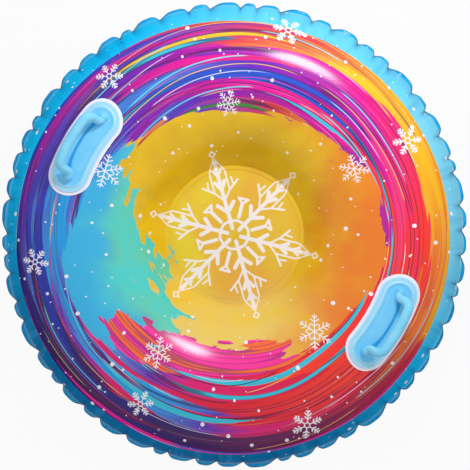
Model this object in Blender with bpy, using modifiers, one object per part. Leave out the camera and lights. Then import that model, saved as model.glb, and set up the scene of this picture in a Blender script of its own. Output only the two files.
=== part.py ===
"""Inflatable snow tube for one rider.

Two vinyl skins are welded together along a puckered outer seam and round a flat double-layer
seat floor. Two moulded carrying handles lie on the crest, and an inflation valve sits low in the
bottom skin. Metres, +Z up. The origin is on the ground under the middle, and the rider faces +Y
with a handle on each side, at -X and +X.
"""

import math

import bmesh
import bpy
from mathutils import Matrix, Vector

# Skins, floor and seam
SEAT_RADIUS = 0.141
SEAM_RADIUS = 0.460
TOP_SKIN_THICKNESS = 0.0006
BOTTOM_SKIN_THICKNESS = 0.0008
FLOOR_THICKNESS = 0.0014
SEAT_MARGIN = 0.008
WELD_GROOVE_WIDTH = 0.0025
WELD_GROOVE_DEPTH = 0.0004
SEAM_THICKNESS = 0.0012
SEAM_OVERHANG = 0.0085
SEAM_TUCK = 0.012
REST_WIDTH = 0.040
CLEARANCE = 0.0003

# Puckers that the seam draws into the skins
LOBES = 57
UNEVEN_SHARES = (0.30, 0.16)
UNEVEN_TURNS = (2.4, 5.1)
LOBE_SWELL = 0.0030
SWELL_POWER = 1.5
NOTCH_DEPTH = 0.0055
PUCKER_REACH = 0.060
PUCKER_ROW_SHARES = (0.34, 0.70, 1.0)
TOP_ROWS = 15
BOTTOM_INNER_ROWS = 5
BOTTOM_OUTER_ROWS = 4
LOBE_STEPS = 3
NOTCH_SNAP_SHARE = 0.01

# Handle patch and pad
HANDLE_OUTSET = 0.0020
PATCH_LENGTH = 0.200
PATCH_WIDTH = 0.083
PATCH_THICKNESS = 0.0008
PATCH_MARGIN = 0.006
FLANGE_WIDTH = 0.0085
FLANGE_THICKNESS = 0.0020
PAD_STEP = 0.0025
STEP_SLOPE = 0.0010
PAD_RIM_WIDTH = 0.0035
DISH_DEPTH = 0.0015
DISH_SLOPE = 0.0030
HANDLE_SIDE_STEPS = 5
HANDLE_END_STEPS = 8

# Grip and its feet
GRIP_SPAN = 0.128
GRIP_RADIUS = 0.0085
GRIP_RISE = 0.034
GRIP_LEAN = math.radians(34)
GRIP_LEAD = 0.0010
GRIP_FOOT_BEND = 0.0085
GRIP_TOP_BEND = 0.0140
FOOT_RADIUS = 0.0075
FOOT_LENGTH = 0.0070
FOOT_SINK = 0.0010
FOOT_TAPER_SHARE = 0.78
FOOT_SEGMENTS = 16
BEND_STEPS = 4

# Inflation valve
VALVE_ANGLE = math.radians(-90)
VALVE_TRAVEL = 0.105
VALVE_FLANGE_RADIUS = 0.019
VALVE_FLANGE_THICKNESS = 0.0014
VALVE_FLANGE_BEVEL = 0.0006
STEM_RADIUS = 0.0070
STEM_BORE = 0.0053
STEM_LENGTH = 0.0230
COLLAR_RADIUS = 0.0090
COLLAR_THICKNESS = 0.0019
PLUG_TIP_RADIUS = 0.0040
PLUG_TIP_LENGTH = 0.0050
PLUG_BEAD_RADIUS = 0.0050
PLUG_BEAD_LENGTH = 0.0015
PLUG_HEAD_RADIUS = 0.0075
PLUG_HEAD_THICKNESS = 0.0020
PLUG_EDGE_BEVEL = 0.0005
STRAP_REACH = 0.0130
STRAP_WIDTH = 0.0050
STRAP_THICKNESS = 0.0012
HINGE_BEAD_RADIUS = 0.0012
BEAD_SEGMENTS = 12
LUG_THICKNESS = 0.0013
FLAP_RADIUS = 0.0062
FLAP_THICKNESS = 0.0008
VALVE_SEGMENTS = 24
CUT_OVERRUN = 0.010
MERGE_DISTANCE = 0.00001


class Meridian:
    """Cross-section of a flat ring of film, welded at both rims and then blown up.

    The film is slack round the ring, so the sine of its slope falls evenly with radius squared.
    Travel is measured along the film from the crest, positive outwards."""

    def __init__(self, seat, seam):
        low = 0.0
        high = math.pi / 2
        for _ in range(50):
            slope = (low + high) / 2
            self.bulge = 2 * (1 + math.sin(slope)) / (seam ** 2 - seat ** 2)
            self.crest = math.sqrt(seat ** 2 + 2 * math.sin(slope) / self.bulge)
            if self.measure(slope)[1] > self.measure(-math.pi / 2)[1]:
                high = slope
            else:
                low = slope
        self.seat_travel = self.measure(slope)[0]
        self.seam_travel, self.height = self.measure(-math.pi / 2)

    def measure(self, slope, steps=200):
        """Travel from the crest to the place with this slope, and the drop on the way."""
        travel = 0.0
        drop = 0.0
        for step in range(steps):
            turn = slope * (step + 0.5) / steps
            radius = math.sqrt(self.crest ** 2 - 2 * math.sin(turn) / self.bulge)
            length = slope / steps / (self.bulge * radius)
            travel -= length
            drop += math.sin(turn) * length
        return travel, drop

    def travel_to(self, radius):
        """Travel at a radius, anywhere between the two welds."""
        slope = math.asin(self.bulge * (self.crest ** 2 - radius ** 2) / 2)
        return self.measure(slope)[0]

    def at(self, travel, steps=48):
        """Radius, height over the weld plane, and slope at a travel."""
        radius = self.crest
        height = self.height
        slope = 0.0
        step = travel / steps
        for _ in range(steps):
            middle_slope = slope - self.bulge * radius * step / 2
            middle_radius = radius + math.cos(slope) * step / 2
            radius += math.cos(middle_slope) * step
            height += math.sin(middle_slope) * step
            slope -= self.bulge * middle_radius * step
        return radius, height, slope


TUBE = Meridian(SEAT_RADIUS, SEAM_RADIUS)
HANDLE_RADIUS = TUBE.crest + HANDLE_OUTSET
TOP = 1
BOTTOM = -1
SKIN_BASE = {
    TOP: FLOOR_THICKNESS / 2 + CLEARANCE + TOP_SKIN_THICKNESS,
    BOTTOM: FLOOR_THICKNESS / 2 + CLEARANCE + BOTTOM_SKIN_THICKNESS,
}
SEAM_HEIGHT = TUBE.at(REST_WIDTH / 2)[1] + SKIN_BASE[BOTTOM]


def skin_point(side, angle, travel, lift=0.0):
    """A point over a skin's outer face. Inside the inner weld the skin lies flat on the floor."""
    margin = min(0.0, travel - TUBE.seat_travel)
    radius, height, slope = TUBE.at(max(travel, TUBE.seat_travel))
    if margin < 0.0:
        slope = 0.0
    radius += margin - lift * math.sin(slope)
    height += lift * math.cos(slope) + SKIN_BASE[side]
    level = max(SEAM_HEIGHT + side * height, min(0.0, -lift))
    return Vector((radius * math.cos(angle), radius * math.sin(angle), level))


def lobe_widths():
    """Uneven widths of the seam's lobes, as shares of the mean width."""
    widths = []
    for lobe in range(LOBES):
        waves = [math.sin(turn * lobe + place) for place, turn in enumerate(UNEVEN_TURNS)]
        widths.append(1 + sum(share * wave for share, wave in zip(UNEVEN_SHARES, waves)))
    return widths


WIDTHS = lobe_widths()
NOTCHES = [math.tau * sum(WIDTHS[:lobe]) / sum(WIDTHS) for lobe in range(LOBES + 1)]


def lobe_at(even_angle):
    """Lobe number and place in the lobe, from 0 to 1, for an angle with the lobes evenly spaced."""
    place = (even_angle % math.tau) * LOBES / math.tau
    nearest = round(place)
    if abs(place - nearest) < NOTCH_SNAP_SHARE:
        place = nearest
    lobe = int(place) % LOBES
    return lobe, place - int(place)


def notch_angle(even_angle):
    """The same place where the lobes have their uneven widths."""
    lobe, share = lobe_at(even_angle)
    return NOTCHES[lobe] + share * (NOTCHES[lobe + 1] - NOTCHES[lobe])


def pucker(even_angle):
    """How far the seam swells out, or is drawn in, at an angle."""
    lobe, share = lobe_at(even_angle)
    crease = (1 - math.sin(math.pi * share)) ** 2
    return LOBE_SWELL * WIDTHS[lobe] ** SWELL_POWER * (1 - crease) - NOTCH_DEPTH * crease


def start_scene():
    """An empty scene with one collection for the parts and one for the shapes that cut or join."""
    for thing in list(bpy.data.objects):
        bpy.data.objects.remove(thing)
    made = []
    for name in ("snow_tube", "cutters"):
        group = bpy.data.collections.new(name)
        bpy.context.scene.collection.children.link(group)
        made.append(group)
    return made


PARTS, CUTTERS = start_scene()


def material(name, colour, roughness):
    """A plain Principled material."""
    made = bpy.data.materials.new(name)
    made.use_nodes = True
    shader = made.node_tree.nodes["Principled BSDF"]
    shader.inputs["Base Color"].default_value = (*colour, 1.0)
    shader.inputs["Roughness"].default_value = roughness
    return made


def place(name, data, finish, matrix=None, group=PARTS):
    """Put a mesh or a curve in the scene with its material."""
    piece = bpy.data.objects.new(name, data)
    group.objects.link(piece)
    if matrix is not None:
        piece.matrix_world = matrix
    if finish is not None:
        data.materials.append(finish)
    if group is CUTTERS:
        piece.hide_render = True
        piece.display_type = "WIRE"
    return piece


def to_mesh(bm, name, smooth=35):
    """Finish a bmesh as a mesh that is smooth except at sharp edges."""
    mesh = bpy.data.meshes.new(name)
    bm.to_mesh(mesh)
    bm.free()
    mesh.shade_smooth()
    mesh.set_sharp_from_angle(angle=math.radians(smooth))
    return mesh


def solidify(piece, thickness, offset):
    """Give an open surface its thickness."""
    wall = piece.modifiers.new("wall", "SOLIDIFY")
    wall.thickness = thickness
    wall.offset = offset
    wall.use_even_offset = True


def combine(piece, tool, operation):
    """Cut a shape out of a piece, or join it on."""
    cut = piece.modifiers.new(tool.name, "BOOLEAN")
    cut.operation = operation
    cut.solver = "EXACT"
    cut.object = tool


def loft(loops, closed=False):
    """Skin a row of loops that have the same number of points. Points that meet are merged."""
    bm = bmesh.new()
    rows = [[bm.verts.new(point) for point in loop] for loop in loops]
    if closed:
        rows.append(rows[0])
    for lower, upper in zip(rows, rows[1:]):
        count = len(lower)
        for index in range(count):
            following = (index + 1) % count
            bm.faces.new((lower[index], lower[following], upper[following], upper[index]))
    bmesh.ops.remove_doubles(bm, verts=bm.verts, dist=MERGE_DISTANCE)
    bmesh.ops.recalc_face_normals(bm, faces=bm.faces)
    return bm


def turned(name, profile, finish, matrix, closed, segments=VALVE_SEGMENTS):
    """A turned piece: a profile of (radius, height) points, outer side first, from the top down."""
    bm = bmesh.new()
    verts = [bm.verts.new((radius, 0.0, height)) for radius, height in profile]
    for first, second in zip(verts, verts[1:]):
        bm.edges.new((first, second))
    if closed:
        bm.edges.new((verts[-1], verts[0]))
    piece = place(name, to_mesh(bm, name), finish, matrix)
    turn = piece.modifiers.new("turn", "SCREW")
    turn.axis = "Z"
    turn.steps = segments
    turn.render_steps = segments
    turn.use_merge_vertices = True
    turn.merge_threshold = MERGE_DISTANCE
    return piece


def block(name, low, high, matrix, group, finish=None):
    """A box between two corners."""
    bm = bmesh.new()
    bmesh.ops.create_cube(bm, size=1.0)
    size = [upper - lower for lower, upper in zip(low, high)]
    middle = [(lower + upper) / 2 for lower, upper in zip(low, high)]
    bmesh.ops.scale(bm, verts=bm.verts, vec=size)
    bmesh.ops.translate(bm, verts=bm.verts, vec=middle)
    return place(name, to_mesh(bm, name), finish, matrix, group)


# Skins, floor and seam

def skin_rows(side):
    """Travels of a skin's rings, from the floor weld to the seam, and the first puckered one."""
    pucker_start = TUBE.seam_travel - PUCKER_REACH
    rows = [TUBE.seat_travel - SEAT_MARGIN]
    if side == TOP:
        span = pucker_start - TUBE.seat_travel
        rows += [TUBE.seat_travel + span * row / TOP_ROWS for row in range(TOP_ROWS + 1)]
    else:
        inner = -REST_WIDTH / 2 - TUBE.seat_travel
        outer = pucker_start - REST_WIDTH / 2
        rows += [TUBE.seat_travel + inner * row / BOTTOM_INNER_ROWS for row in range(BOTTOM_INNER_ROWS + 1)]
        rows += [REST_WIDTH / 2 + outer * row / BOTTOM_OUTER_ROWS for row in range(BOTTOM_OUTER_ROWS + 1)]
    rows += [pucker_start + PUCKER_REACH * share for share in PUCKER_ROW_SHARES]
    return rows, rows[-len(PUCKER_ROW_SHARES)]


def puckered_point(side, even_angle, travel):
    """A point of a skin's outer face, with the seam's creases fading inwards from the seam."""
    pucker_start = TUBE.seam_travel - PUCKER_REACH
    near = min(1.0, max(0.0, (travel - pucker_start) / PUCKER_REACH))
    drift = min(1.0, max(0.0, travel / pucker_start))
    angle = even_angle + drift * (notch_angle(even_angle) - even_angle)
    point = skin_point(side, angle, travel, pucker(even_angle) * near ** 2)
    if near == 1.0:
        point.z = SEAM_HEIGHT + side * (SEAM_THICKNESS / 2 + CLEARANCE)
    return point


def build_skin(name, side, thickness, finish):
    """One skin, spun from its meridian, with more points round it where the seam puckers it."""
    rows, first_fine = skin_rows(side)
    bm = bmesh.new()
    travel_layer = bm.verts.layers.float.new("travel")
    verts = []
    for travel in rows:
        vert = bm.verts.new(skin_point(side, 0.0, travel))
        vert[travel_layer] = travel
        verts.append(vert)
    edges = [bm.edges.new(pair) for pair in zip(verts, verts[1:])]
    bmesh.ops.spin(bm, geom=verts + edges, cent=(0, 0, 0), axis=(0, 0, 1), dvec=(0, 0, 0),
                   angle=math.tau, steps=LOBES, use_merge=True, use_duplicate=False)
    fine_edges = []
    for edge in bm.edges:
        travels = [vert[travel_layer] for vert in edge.verts]
        if min(travels) > first_fine - MERGE_DISTANCE and max(travels) - min(travels) < MERGE_DISTANCE:
            fine_edges.append(edge)
    bmesh.ops.subdivide_edges(bm, edges=fine_edges, cuts=LOBE_STEPS - 1, use_grid_fill=True)
    for vert in bm.verts:
        even_angle = math.atan2(vert.co.y, vert.co.x) % math.tau
        travel = min(rows, key=lambda row: abs(row - vert[travel_layer]))
        near = (travel - (TUBE.seam_travel - PUCKER_REACH)) / PUCKER_REACH
        if near > 1 - MERGE_DISTANCE:
            travel = TUBE.seam_travel
        vert.co = puckered_point(side, even_angle, travel)
    bmesh.ops.recalc_face_normals(bm, faces=bm.faces)
    if sum(face.normal.z * face.calc_area() for face in bm.faces) * side < 0:
        bmesh.ops.reverse_faces(bm, faces=bm.faces)
    skin = place(name, to_mesh(bm, name, 60), finish)
    solidify(skin, thickness, -1)
    return skin


def build_floor():
    """The seat floor: both skins fused to one flat disc, with the groove that the weld leaves in its
    top, just inside the skins' margins."""
    top = FLOOR_THICKNESS / 2
    groove = SEAT_RADIUS - SEAT_MARGIN - CLEARANCE
    profile = [(0.0, top), (groove - WELD_GROOVE_WIDTH, top)]
    profile += [(groove - WELD_GROOVE_WIDTH, top - WELD_GROOVE_DEPTH), (groove, top - WELD_GROOVE_DEPTH)]
    profile += [(groove, top), (SEAT_RADIUS, top), (SEAT_RADIUS, -top), (0.0, -top)]
    finish = material("floor_vinyl", (0.93, 0.72, 0.12), 0.35)
    turned("seat_floor", profile, finish, Matrix.Translation((0, 0, SEAM_HEIGHT)), False, LOBES)


def build_seam():
    """The outer weld: the margins of both skins fused to one scalloped band."""
    count = LOBES * LOBE_STEPS
    bm = bmesh.new()
    rings = []
    for outer in (False, True):
        ring = []
        for step in range(count):
            even_angle = math.tau * step / count
            angle = notch_angle(even_angle)
            radius = SEAM_RADIUS - SEAM_TUCK
            if outer:
                radius = SEAM_RADIUS + SEAM_OVERHANG + pucker(even_angle)
            ring.append(bm.verts.new((radius * math.cos(angle), radius * math.sin(angle), SEAM_HEIGHT)))
        rings.append(ring)
    edges = []
    for ring in rings:
        edges += [bm.edges.new((ring[step], ring[(step + 1) % count])) for step in range(count)]
    bmesh.ops.bridge_loops(bm, edges=edges)
    seam = place("outer_seam", to_mesh(bm, "outer_seam"), material("seam_vinyl", (0.10, 0.62, 0.88), 0.3))
    solidify(seam, SEAM_THICKNESS, 0)


# Handles

PAD_BASE = CLEARANCE + PATCH_THICKNESS + CLEARANCE
PAD_FLANGE_LIFT = PAD_BASE + FLANGE_THICKNESS
PAD_RIM_LIFT = PAD_FLANGE_LIFT + PAD_STEP
PAD_DISH_LIFT = PAD_RIM_LIFT - DISH_DEPTH
FOOT_PLACE = GRIP_SPAN / 2 + CLEARANCE + FOOT_LENGTH / 2
AXIS_RADIUS = HANDLE_RADIUS * math.cos(FOOT_PLACE / HANDLE_RADIUS)
AXIS_LIFT = PAD_DISH_LIFT + CLEARANCE + FOOT_RADIUS
HANDLE_TRAVEL = TUBE.travel_to(HANDLE_RADIUS)
AXIS_HEIGHT = skin_point(TOP, 0.0, HANDLE_TRAVEL, AXIS_LIFT).z


def bean_loop(half_width, lift, handle_angle):
    """A closed loop laid on the top skin: straight along the ring, with half-round ends."""
    run = (PATCH_LENGTH - PATCH_WIDTH) / 2
    flat = []
    for end in (1, -1):
        for step in range(HANDLE_END_STEPS + 1):
            turn = math.pi * step / HANDLE_END_STEPS - math.pi / 2
            flat.append((end * (run + half_width * math.cos(turn)), end * half_width * math.sin(turn)))
        for step in range(1, HANDLE_SIDE_STEPS):
            flat.append((end * run * (1 - 2 * step / HANDLE_SIDE_STEPS), end * half_width))
    points = []
    for along, across in flat:
        angle = handle_angle + along / HANDLE_RADIUS
        points.append(skin_point(TOP, angle, HANDLE_TRAVEL + across, lift))
    return points


def build_patch(side, angle, finish):
    """The reinforcing patch that is welded to the top skin under a handle."""
    half = PATCH_WIDTH / 2
    inner = half - PATCH_MARGIN
    widths = (half, inner, inner * 2 / 3, inner / 3, 0.0)
    loops = [bean_loop(width, CLEARANCE, angle) for width in reversed(widths)]
    loops += [bean_loop(width, CLEARANCE + PATCH_THICKNESS, angle) for width in widths]
    name = side + "_handle_patch"
    place(name, to_mesh(loft(loops), name), finish)


def build_foot(name, end, matrix):
    """A foot that holds one end of a grip: round above its axis, straight down into the pad."""
    bm = bmesh.new()
    bmesh.ops.create_circle(bm, cap_ends=True, segments=FOOT_SEGMENTS, radius=FOOT_RADIUS)
    for vert in bm.verts:
        if vert.co.y < -MERGE_DISTANCE:
            vert.co.y = PAD_DISH_LIFT - AXIS_LIFT - FOOT_SINK
    upright = Matrix.Rotation(math.pi / 2, 4, "X")
    bmesh.ops.transform(bm, matrix=upright, verts=bm.verts)
    made = bmesh.ops.extrude_face_region(bm, geom=bm.faces[:])
    outer = [item for item in made["geom"] if isinstance(item, bmesh.types.BMVert)]
    bmesh.ops.translate(bm, verts=outer, vec=(0, end * FOOT_LENGTH, 0))
    bottom = PAD_DISH_LIFT - AXIS_LIFT - FOOT_SINK
    for vert in outer:
        vert.co.x *= FOOT_TAPER_SHARE
        vert.co.z = bottom + (vert.co.z - bottom) * FOOT_TAPER_SHARE
    start = end * (GRIP_SPAN / 2 + CLEARANCE)
    bmesh.ops.translate(bm, verts=bm.verts, vec=(AXIS_RADIUS, start, AXIS_HEIGHT))
    bmesh.ops.recalc_face_normals(bm, faces=bm.faces)
    return place(name, to_mesh(bm, name), None, matrix, CUTTERS)


def build_pad(side, angle, finish):
    """The moulded pad: a flat flange, a raised rim, a dished middle and two feet."""
    outer = PATCH_WIDTH / 2 - PATCH_MARGIN
    step = outer - FLANGE_WIDTH
    rim = step - STEP_SLOPE
    dish = rim - PAD_RIM_WIDTH - DISH_SLOPE
    sections = [(0.0, PAD_BASE), (outer / 3, PAD_BASE), (outer * 2 / 3, PAD_BASE), (outer, PAD_BASE)]
    sections += [(outer, PAD_FLANGE_LIFT), (step, PAD_FLANGE_LIFT), (rim, PAD_RIM_LIFT)]
    sections += [(rim - PAD_RIM_WIDTH, PAD_RIM_LIFT), (dish, PAD_DISH_LIFT)]
    sections += [(dish / 2, PAD_DISH_LIFT), (0.0, PAD_DISH_LIFT)]
    name = side + "_handle_pad"
    loops = [bean_loop(width, lift, angle) for width, lift in sections]
    pad = place(name, to_mesh(loft(loops), name), finish)
    spin = Matrix.Rotation(angle, 4, "Z")
    for end, label in ((1, "front"), (-1, "back")):
        foot = build_foot(side + "_" + label + "_foot", end, spin)
        combine(pad, foot, "UNION")


def grip_half():
    """Half of a grip's centre line, from its foot to its middle: (along, rise) points."""
    end = GRIP_SPAN / 2
    points = [(end, 0.0)]
    start = end - GRIP_LEAD
    for step in range(BEND_STEPS + 1):
        turn = math.pi / 2 * step / BEND_STEPS
        points.append((start - GRIP_FOOT_BEND * math.sin(turn), GRIP_FOOT_BEND * (1 - math.cos(turn))))
    centre = start - GRIP_FOOT_BEND - GRIP_TOP_BEND
    for step in range(BEND_STEPS + 1):
        turn = math.pi / 2 * step / BEND_STEPS
        rise = GRIP_RISE - GRIP_TOP_BEND * (1 - math.sin(turn))
        points.append((centre + GRIP_TOP_BEND * math.cos(turn), rise))
    points.append((centre / 2, GRIP_RISE))
    return points


def build_grip(side, angle, finish):
    """A moulded grip that flexes at its feet, drawn about its hinge axis and leaning outwards."""
    half = grip_half()
    path = half + [(0.0, GRIP_RISE)] + [(-along, rise) for along, rise in reversed(half)]
    curve = bpy.data.curves.new(side + "_grip", "CURVE")
    curve.dimensions = "3D"
    curve.bevel_depth = GRIP_RADIUS
    curve.bevel_resolution = 3
    curve.use_fill_caps = True
    spline = curve.splines.new("POLY")
    spline.points.add(len(path) - 1)
    for point, (along, rise) in zip(spline.points, path):
        rise_share = rise / GRIP_RISE
        bow = math.cos(along / HANDLE_RADIUS) - math.cos(GRIP_SPAN / 2 / HANDLE_RADIUS)
        out = rise * math.sin(GRIP_LEAN) + HANDLE_RADIUS * bow * rise_share
        point.co = (out, along, rise * math.cos(GRIP_LEAN), 1.0)
        foot_share = FOOT_RADIUS / GRIP_RADIUS
        point.radius = foot_share + (1 - foot_share) * rise_share
    spin = Matrix.Rotation(angle, 4, "Z")
    axis = bpy.data.objects.new(side + "_grip_axis", None)
    PARTS.objects.link(axis)
    axis.matrix_world = spin @ Matrix.Translation((AXIS_RADIUS, 0, AXIS_HEIGHT))
    grip = place(side + "_grip", curve, finish)
    grip.parent = axis


def build_handles():
    """Both handles: the right one at +X, the left one turned half round to -X."""
    patch_vinyl = material("patch_vinyl", (0.86, 0.84, 0.96), 0.4)
    pad_vinyl = material("pad_vinyl", (0.42, 0.78, 0.97), 0.42)
    grip_vinyl = material("grip_vinyl", (0.36, 0.74, 0.97), 0.4)
    for side, angle in (("right", 0.0), ("left", math.pi)):
        build_patch(side, angle, patch_vinyl)
        build_pad(side, angle, pad_vinyl)
        build_grip(side, angle, grip_vinyl)


# Inflation valve, drawn in its own frame: +Z out of the skin, +X up the skin towards the seam

def valve_frame():
    """Matrix of the valve's frame on the bottom skin."""
    centre = skin_point(BOTTOM, VALVE_ANGLE, VALVE_TRAVEL)
    out = (skin_point(BOTTOM, VALVE_ANGLE, VALVE_TRAVEL, VALVE_FLANGE_THICKNESS) - centre).normalized()
    across = Vector((-math.sin(VALVE_ANGLE), math.cos(VALVE_ANGLE), 0))
    up = across.cross(out).normalized()
    if up.z < 0:
        up.negate()
        across.negate()
    frame = Matrix((up, out.cross(up), out)).transposed().to_4x4()
    frame.translation = centre
    return frame


VALVE = valve_frame()
COLLAR_BOTTOM = CLEARANCE + VALVE_FLANGE_THICKNESS + CLEARANCE
COLLAR_TOP = COLLAR_BOTTOM + COLLAR_THICKNESS
PLUG_BOTTOM = COLLAR_TOP + CLEARANCE
STEM_BOTTOM = COLLAR_TOP - STEM_LENGTH
HINGE_LIFT = PLUG_BOTTOM + STRAP_THICKNESS / 2
FLANGE_BORE = STEM_RADIUS + CLEARANCE


def build_valve_flange(finish):
    """The valve's welded flange, laid on the bottom skin round the stem."""
    turn_travel = TUBE.at(VALVE_TRAVEL)[0]
    top = CLEARANCE + VALVE_FLANGE_THICKNESS
    sections = [(FLANGE_BORE, CLEARANCE), (VALVE_FLANGE_RADIUS, CLEARANCE)]
    sections += [(VALVE_FLANGE_RADIUS, top - VALVE_FLANGE_BEVEL)]
    sections += [(VALVE_FLANGE_RADIUS - VALVE_FLANGE_BEVEL, top), (FLANGE_BORE, top)]
    loops = []
    for radius, lift in sections:
        loop = []
        for step in range(VALVE_SEGMENTS):
            turn = math.tau * step / VALVE_SEGMENTS
            angle = VALVE_ANGLE + radius * math.sin(turn) / turn_travel
            loop.append(skin_point(BOTTOM, angle, VALVE_TRAVEL + radius * math.cos(turn), lift))
        loops.append(loop)
    place("valve_flange", to_mesh(loft(loops, closed=True), "valve_flange"), finish)


def build_stem(finish):
    """The soft stem, pressed in until its collar lies on the flange, with the strap's hinge lug."""
    profile = [(COLLAR_RADIUS, COLLAR_TOP), (COLLAR_RADIUS, COLLAR_BOTTOM), (STEM_RADIUS, COLLAR_BOTTOM)]
    profile += [(STEM_RADIUS, STEM_BOTTOM), (STEM_BORE, STEM_BOTTOM), (STEM_BORE, COLLAR_TOP)]
    axis = bpy.data.objects.new("valve_stem_axis", None)
    PARTS.objects.link(axis)
    axis.matrix_world = VALVE
    stem = turned("valve_stem", profile, finish, None, closed=True)
    stem.parent = axis
    half = STRAP_WIDTH / 2
    inner = (STEM_RADIUS + COLLAR_RADIUS) / 2
    low = (inner, -half, COLLAR_TOP - LUG_THICKNESS)
    high = (STRAP_REACH + HINGE_BEAD_RADIUS, half, COLLAR_TOP)
    lug = block("strap_lug", low, high, VALVE, CUTTERS)
    bm = bmesh.new()
    bmesh.ops.create_cone(bm, cap_ends=True, segments=BEAD_SEGMENTS, radius1=HINGE_BEAD_RADIUS,
                          radius2=HINGE_BEAD_RADIUS, depth=STRAP_WIDTH)
    bmesh.ops.rotate(bm, verts=bm.verts, matrix=Matrix.Rotation(math.pi / 2, 3, "X"))
    bmesh.ops.translate(bm, verts=bm.verts, vec=(STRAP_REACH, 0, HINGE_LIFT))
    bead = place("hinge_bead", to_mesh(bm, "hinge_bead"), None, VALVE, CUTTERS)
    combine(stem, lug, "UNION")
    combine(stem, bead, "UNION")


def build_plug(finish):
    """The plug in the stem's bore, and the strap that ties it to the hinge lug."""
    top = PLUG_BOTTOM + PLUG_HEAD_THICKNESS
    tip = PLUG_BOTTOM - PLUG_TIP_LENGTH
    bead = PLUG_BOTTOM - PLUG_BEAD_LENGTH
    profile = [(0.0, top), (PLUG_HEAD_RADIUS - PLUG_EDGE_BEVEL, top)]
    profile += [(PLUG_HEAD_RADIUS, top - PLUG_EDGE_BEVEL), (PLUG_HEAD_RADIUS, PLUG_BOTTOM)]
    profile += [(PLUG_BEAD_RADIUS, PLUG_BOTTOM), (PLUG_BEAD_RADIUS, bead)]
    profile += [(PLUG_TIP_RADIUS, bead - (PLUG_BEAD_RADIUS - PLUG_TIP_RADIUS))]
    profile += [(PLUG_TIP_RADIUS, tip), (0.0, tip)]
    axis = bpy.data.objects.new("valve_plug_axis", None)
    PARTS.objects.link(axis)
    axis.matrix_world = VALVE @ Matrix.Translation((STRAP_REACH, 0, HINGE_LIFT))
    shift = Matrix.Translation((-STRAP_REACH, 0, -HINGE_LIFT))
    plug = turned("valve_plug", profile, finish, None, closed=False)
    plug.parent = axis
    plug.matrix_local = shift
    half = STRAP_WIDTH / 2
    low = (PLUG_HEAD_RADIUS + CLEARANCE, -half, PLUG_BOTTOM)
    high = (STRAP_REACH - HINGE_BEAD_RADIUS - CLEARANCE, half, PLUG_BOTTOM + STRAP_THICKNESS)
    strap = block("valve_strap", low, high, None, PARTS, finish)
    strap.parent = axis
    strap.matrix_local = shift


def build_flap(finish):
    """The non-return flap over the stem's inner end, hinged on its upper edge."""
    top = STEM_BOTTOM - CLEARANCE
    bottom = top - FLAP_THICKNESS
    profile = [(0.0, top), (FLAP_RADIUS, top), (FLAP_RADIUS, bottom), (0.0, bottom)]
    axis = bpy.data.objects.new("valve_flap_axis", None)
    PARTS.objects.link(axis)
    hinge = (FLAP_RADIUS, 0, top - FLAP_THICKNESS / 2)
    axis.matrix_world = VALVE @ Matrix.Translation(hinge)
    flap = turned("valve_flap", profile, finish, None, closed=False)
    flap.parent = axis
    flap.matrix_local = Matrix.Translation(hinge).inverted()


def build_valve(bottom_skin):
    """The whole valve, and its hole in the bottom skin."""
    valve_vinyl = material("valve_vinyl", (0.82, 0.88, 0.93), 0.35)
    plug_vinyl = material("plug_vinyl", (0.30, 0.62, 0.90), 0.35)
    bm = bmesh.new()
    hole = FLANGE_BORE + CLEARANCE
    bmesh.ops.create_cone(bm, cap_ends=True, segments=VALVE_SEGMENTS, radius1=hole, radius2=hole,
                          depth=2 * CUT_OVERRUN)
    cutter = place("valve_hole", to_mesh(bm, "valve_hole"), None, VALVE, CUTTERS)
    combine(bottom_skin, cutter, "DIFFERENCE")
    build_valve_flange(valve_vinyl)
    build_stem(valve_vinyl)
    build_plug(plug_vinyl)
    build_flap(valve_vinyl)


def main():
    """Build the whole tube."""
    top_print = material("top_print", (0.93, 0.45, 0.16), 0.3)
    bottom_vinyl = material("bottom_vinyl", (0.08, 0.50, 0.84), 0.35)
    build_skin("top_skin", TOP, TOP_SKIN_THICKNESS, top_print)
    bottom_skin = build_skin("bottom_skin", BOTTOM, BOTTOM_SKIN_THICKNESS, bottom_vinyl)
    build_floor()
    build_seam()
    build_handles()
    build_valve(bottom_skin)


main()
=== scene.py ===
"""Looks of an inflatable snow tube: printed vinyl skins, a ruffled seam, moulded handles and a valve.

The file is laid out as an add-on. Run as a script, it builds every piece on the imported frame.
"""

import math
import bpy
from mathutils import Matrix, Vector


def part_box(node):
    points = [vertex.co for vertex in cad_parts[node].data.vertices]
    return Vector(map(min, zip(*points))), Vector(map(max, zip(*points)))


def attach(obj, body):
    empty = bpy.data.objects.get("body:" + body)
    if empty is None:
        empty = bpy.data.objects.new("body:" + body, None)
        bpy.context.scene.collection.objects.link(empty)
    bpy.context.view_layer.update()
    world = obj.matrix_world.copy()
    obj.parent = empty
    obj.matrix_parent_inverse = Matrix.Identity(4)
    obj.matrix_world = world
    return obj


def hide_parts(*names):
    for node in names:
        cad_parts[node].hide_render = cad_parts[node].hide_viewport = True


bl_info = {
    "name": "Snow Tube Looks",
    "version": (1, 0, 0),
    "blender": (4, 5, 0),
    "location": "3D View > Sidebar > Snow Tube",
    "description": "Builds the printed skins, the seam, the handles and the valve of a snow tube",
    "category": "Add Mesh",
}

import bmesh
import bpy
from bpy.props import FloatProperty, FloatVectorProperty, IntProperty, PointerProperty
from mathutils import Matrix, Vector

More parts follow.
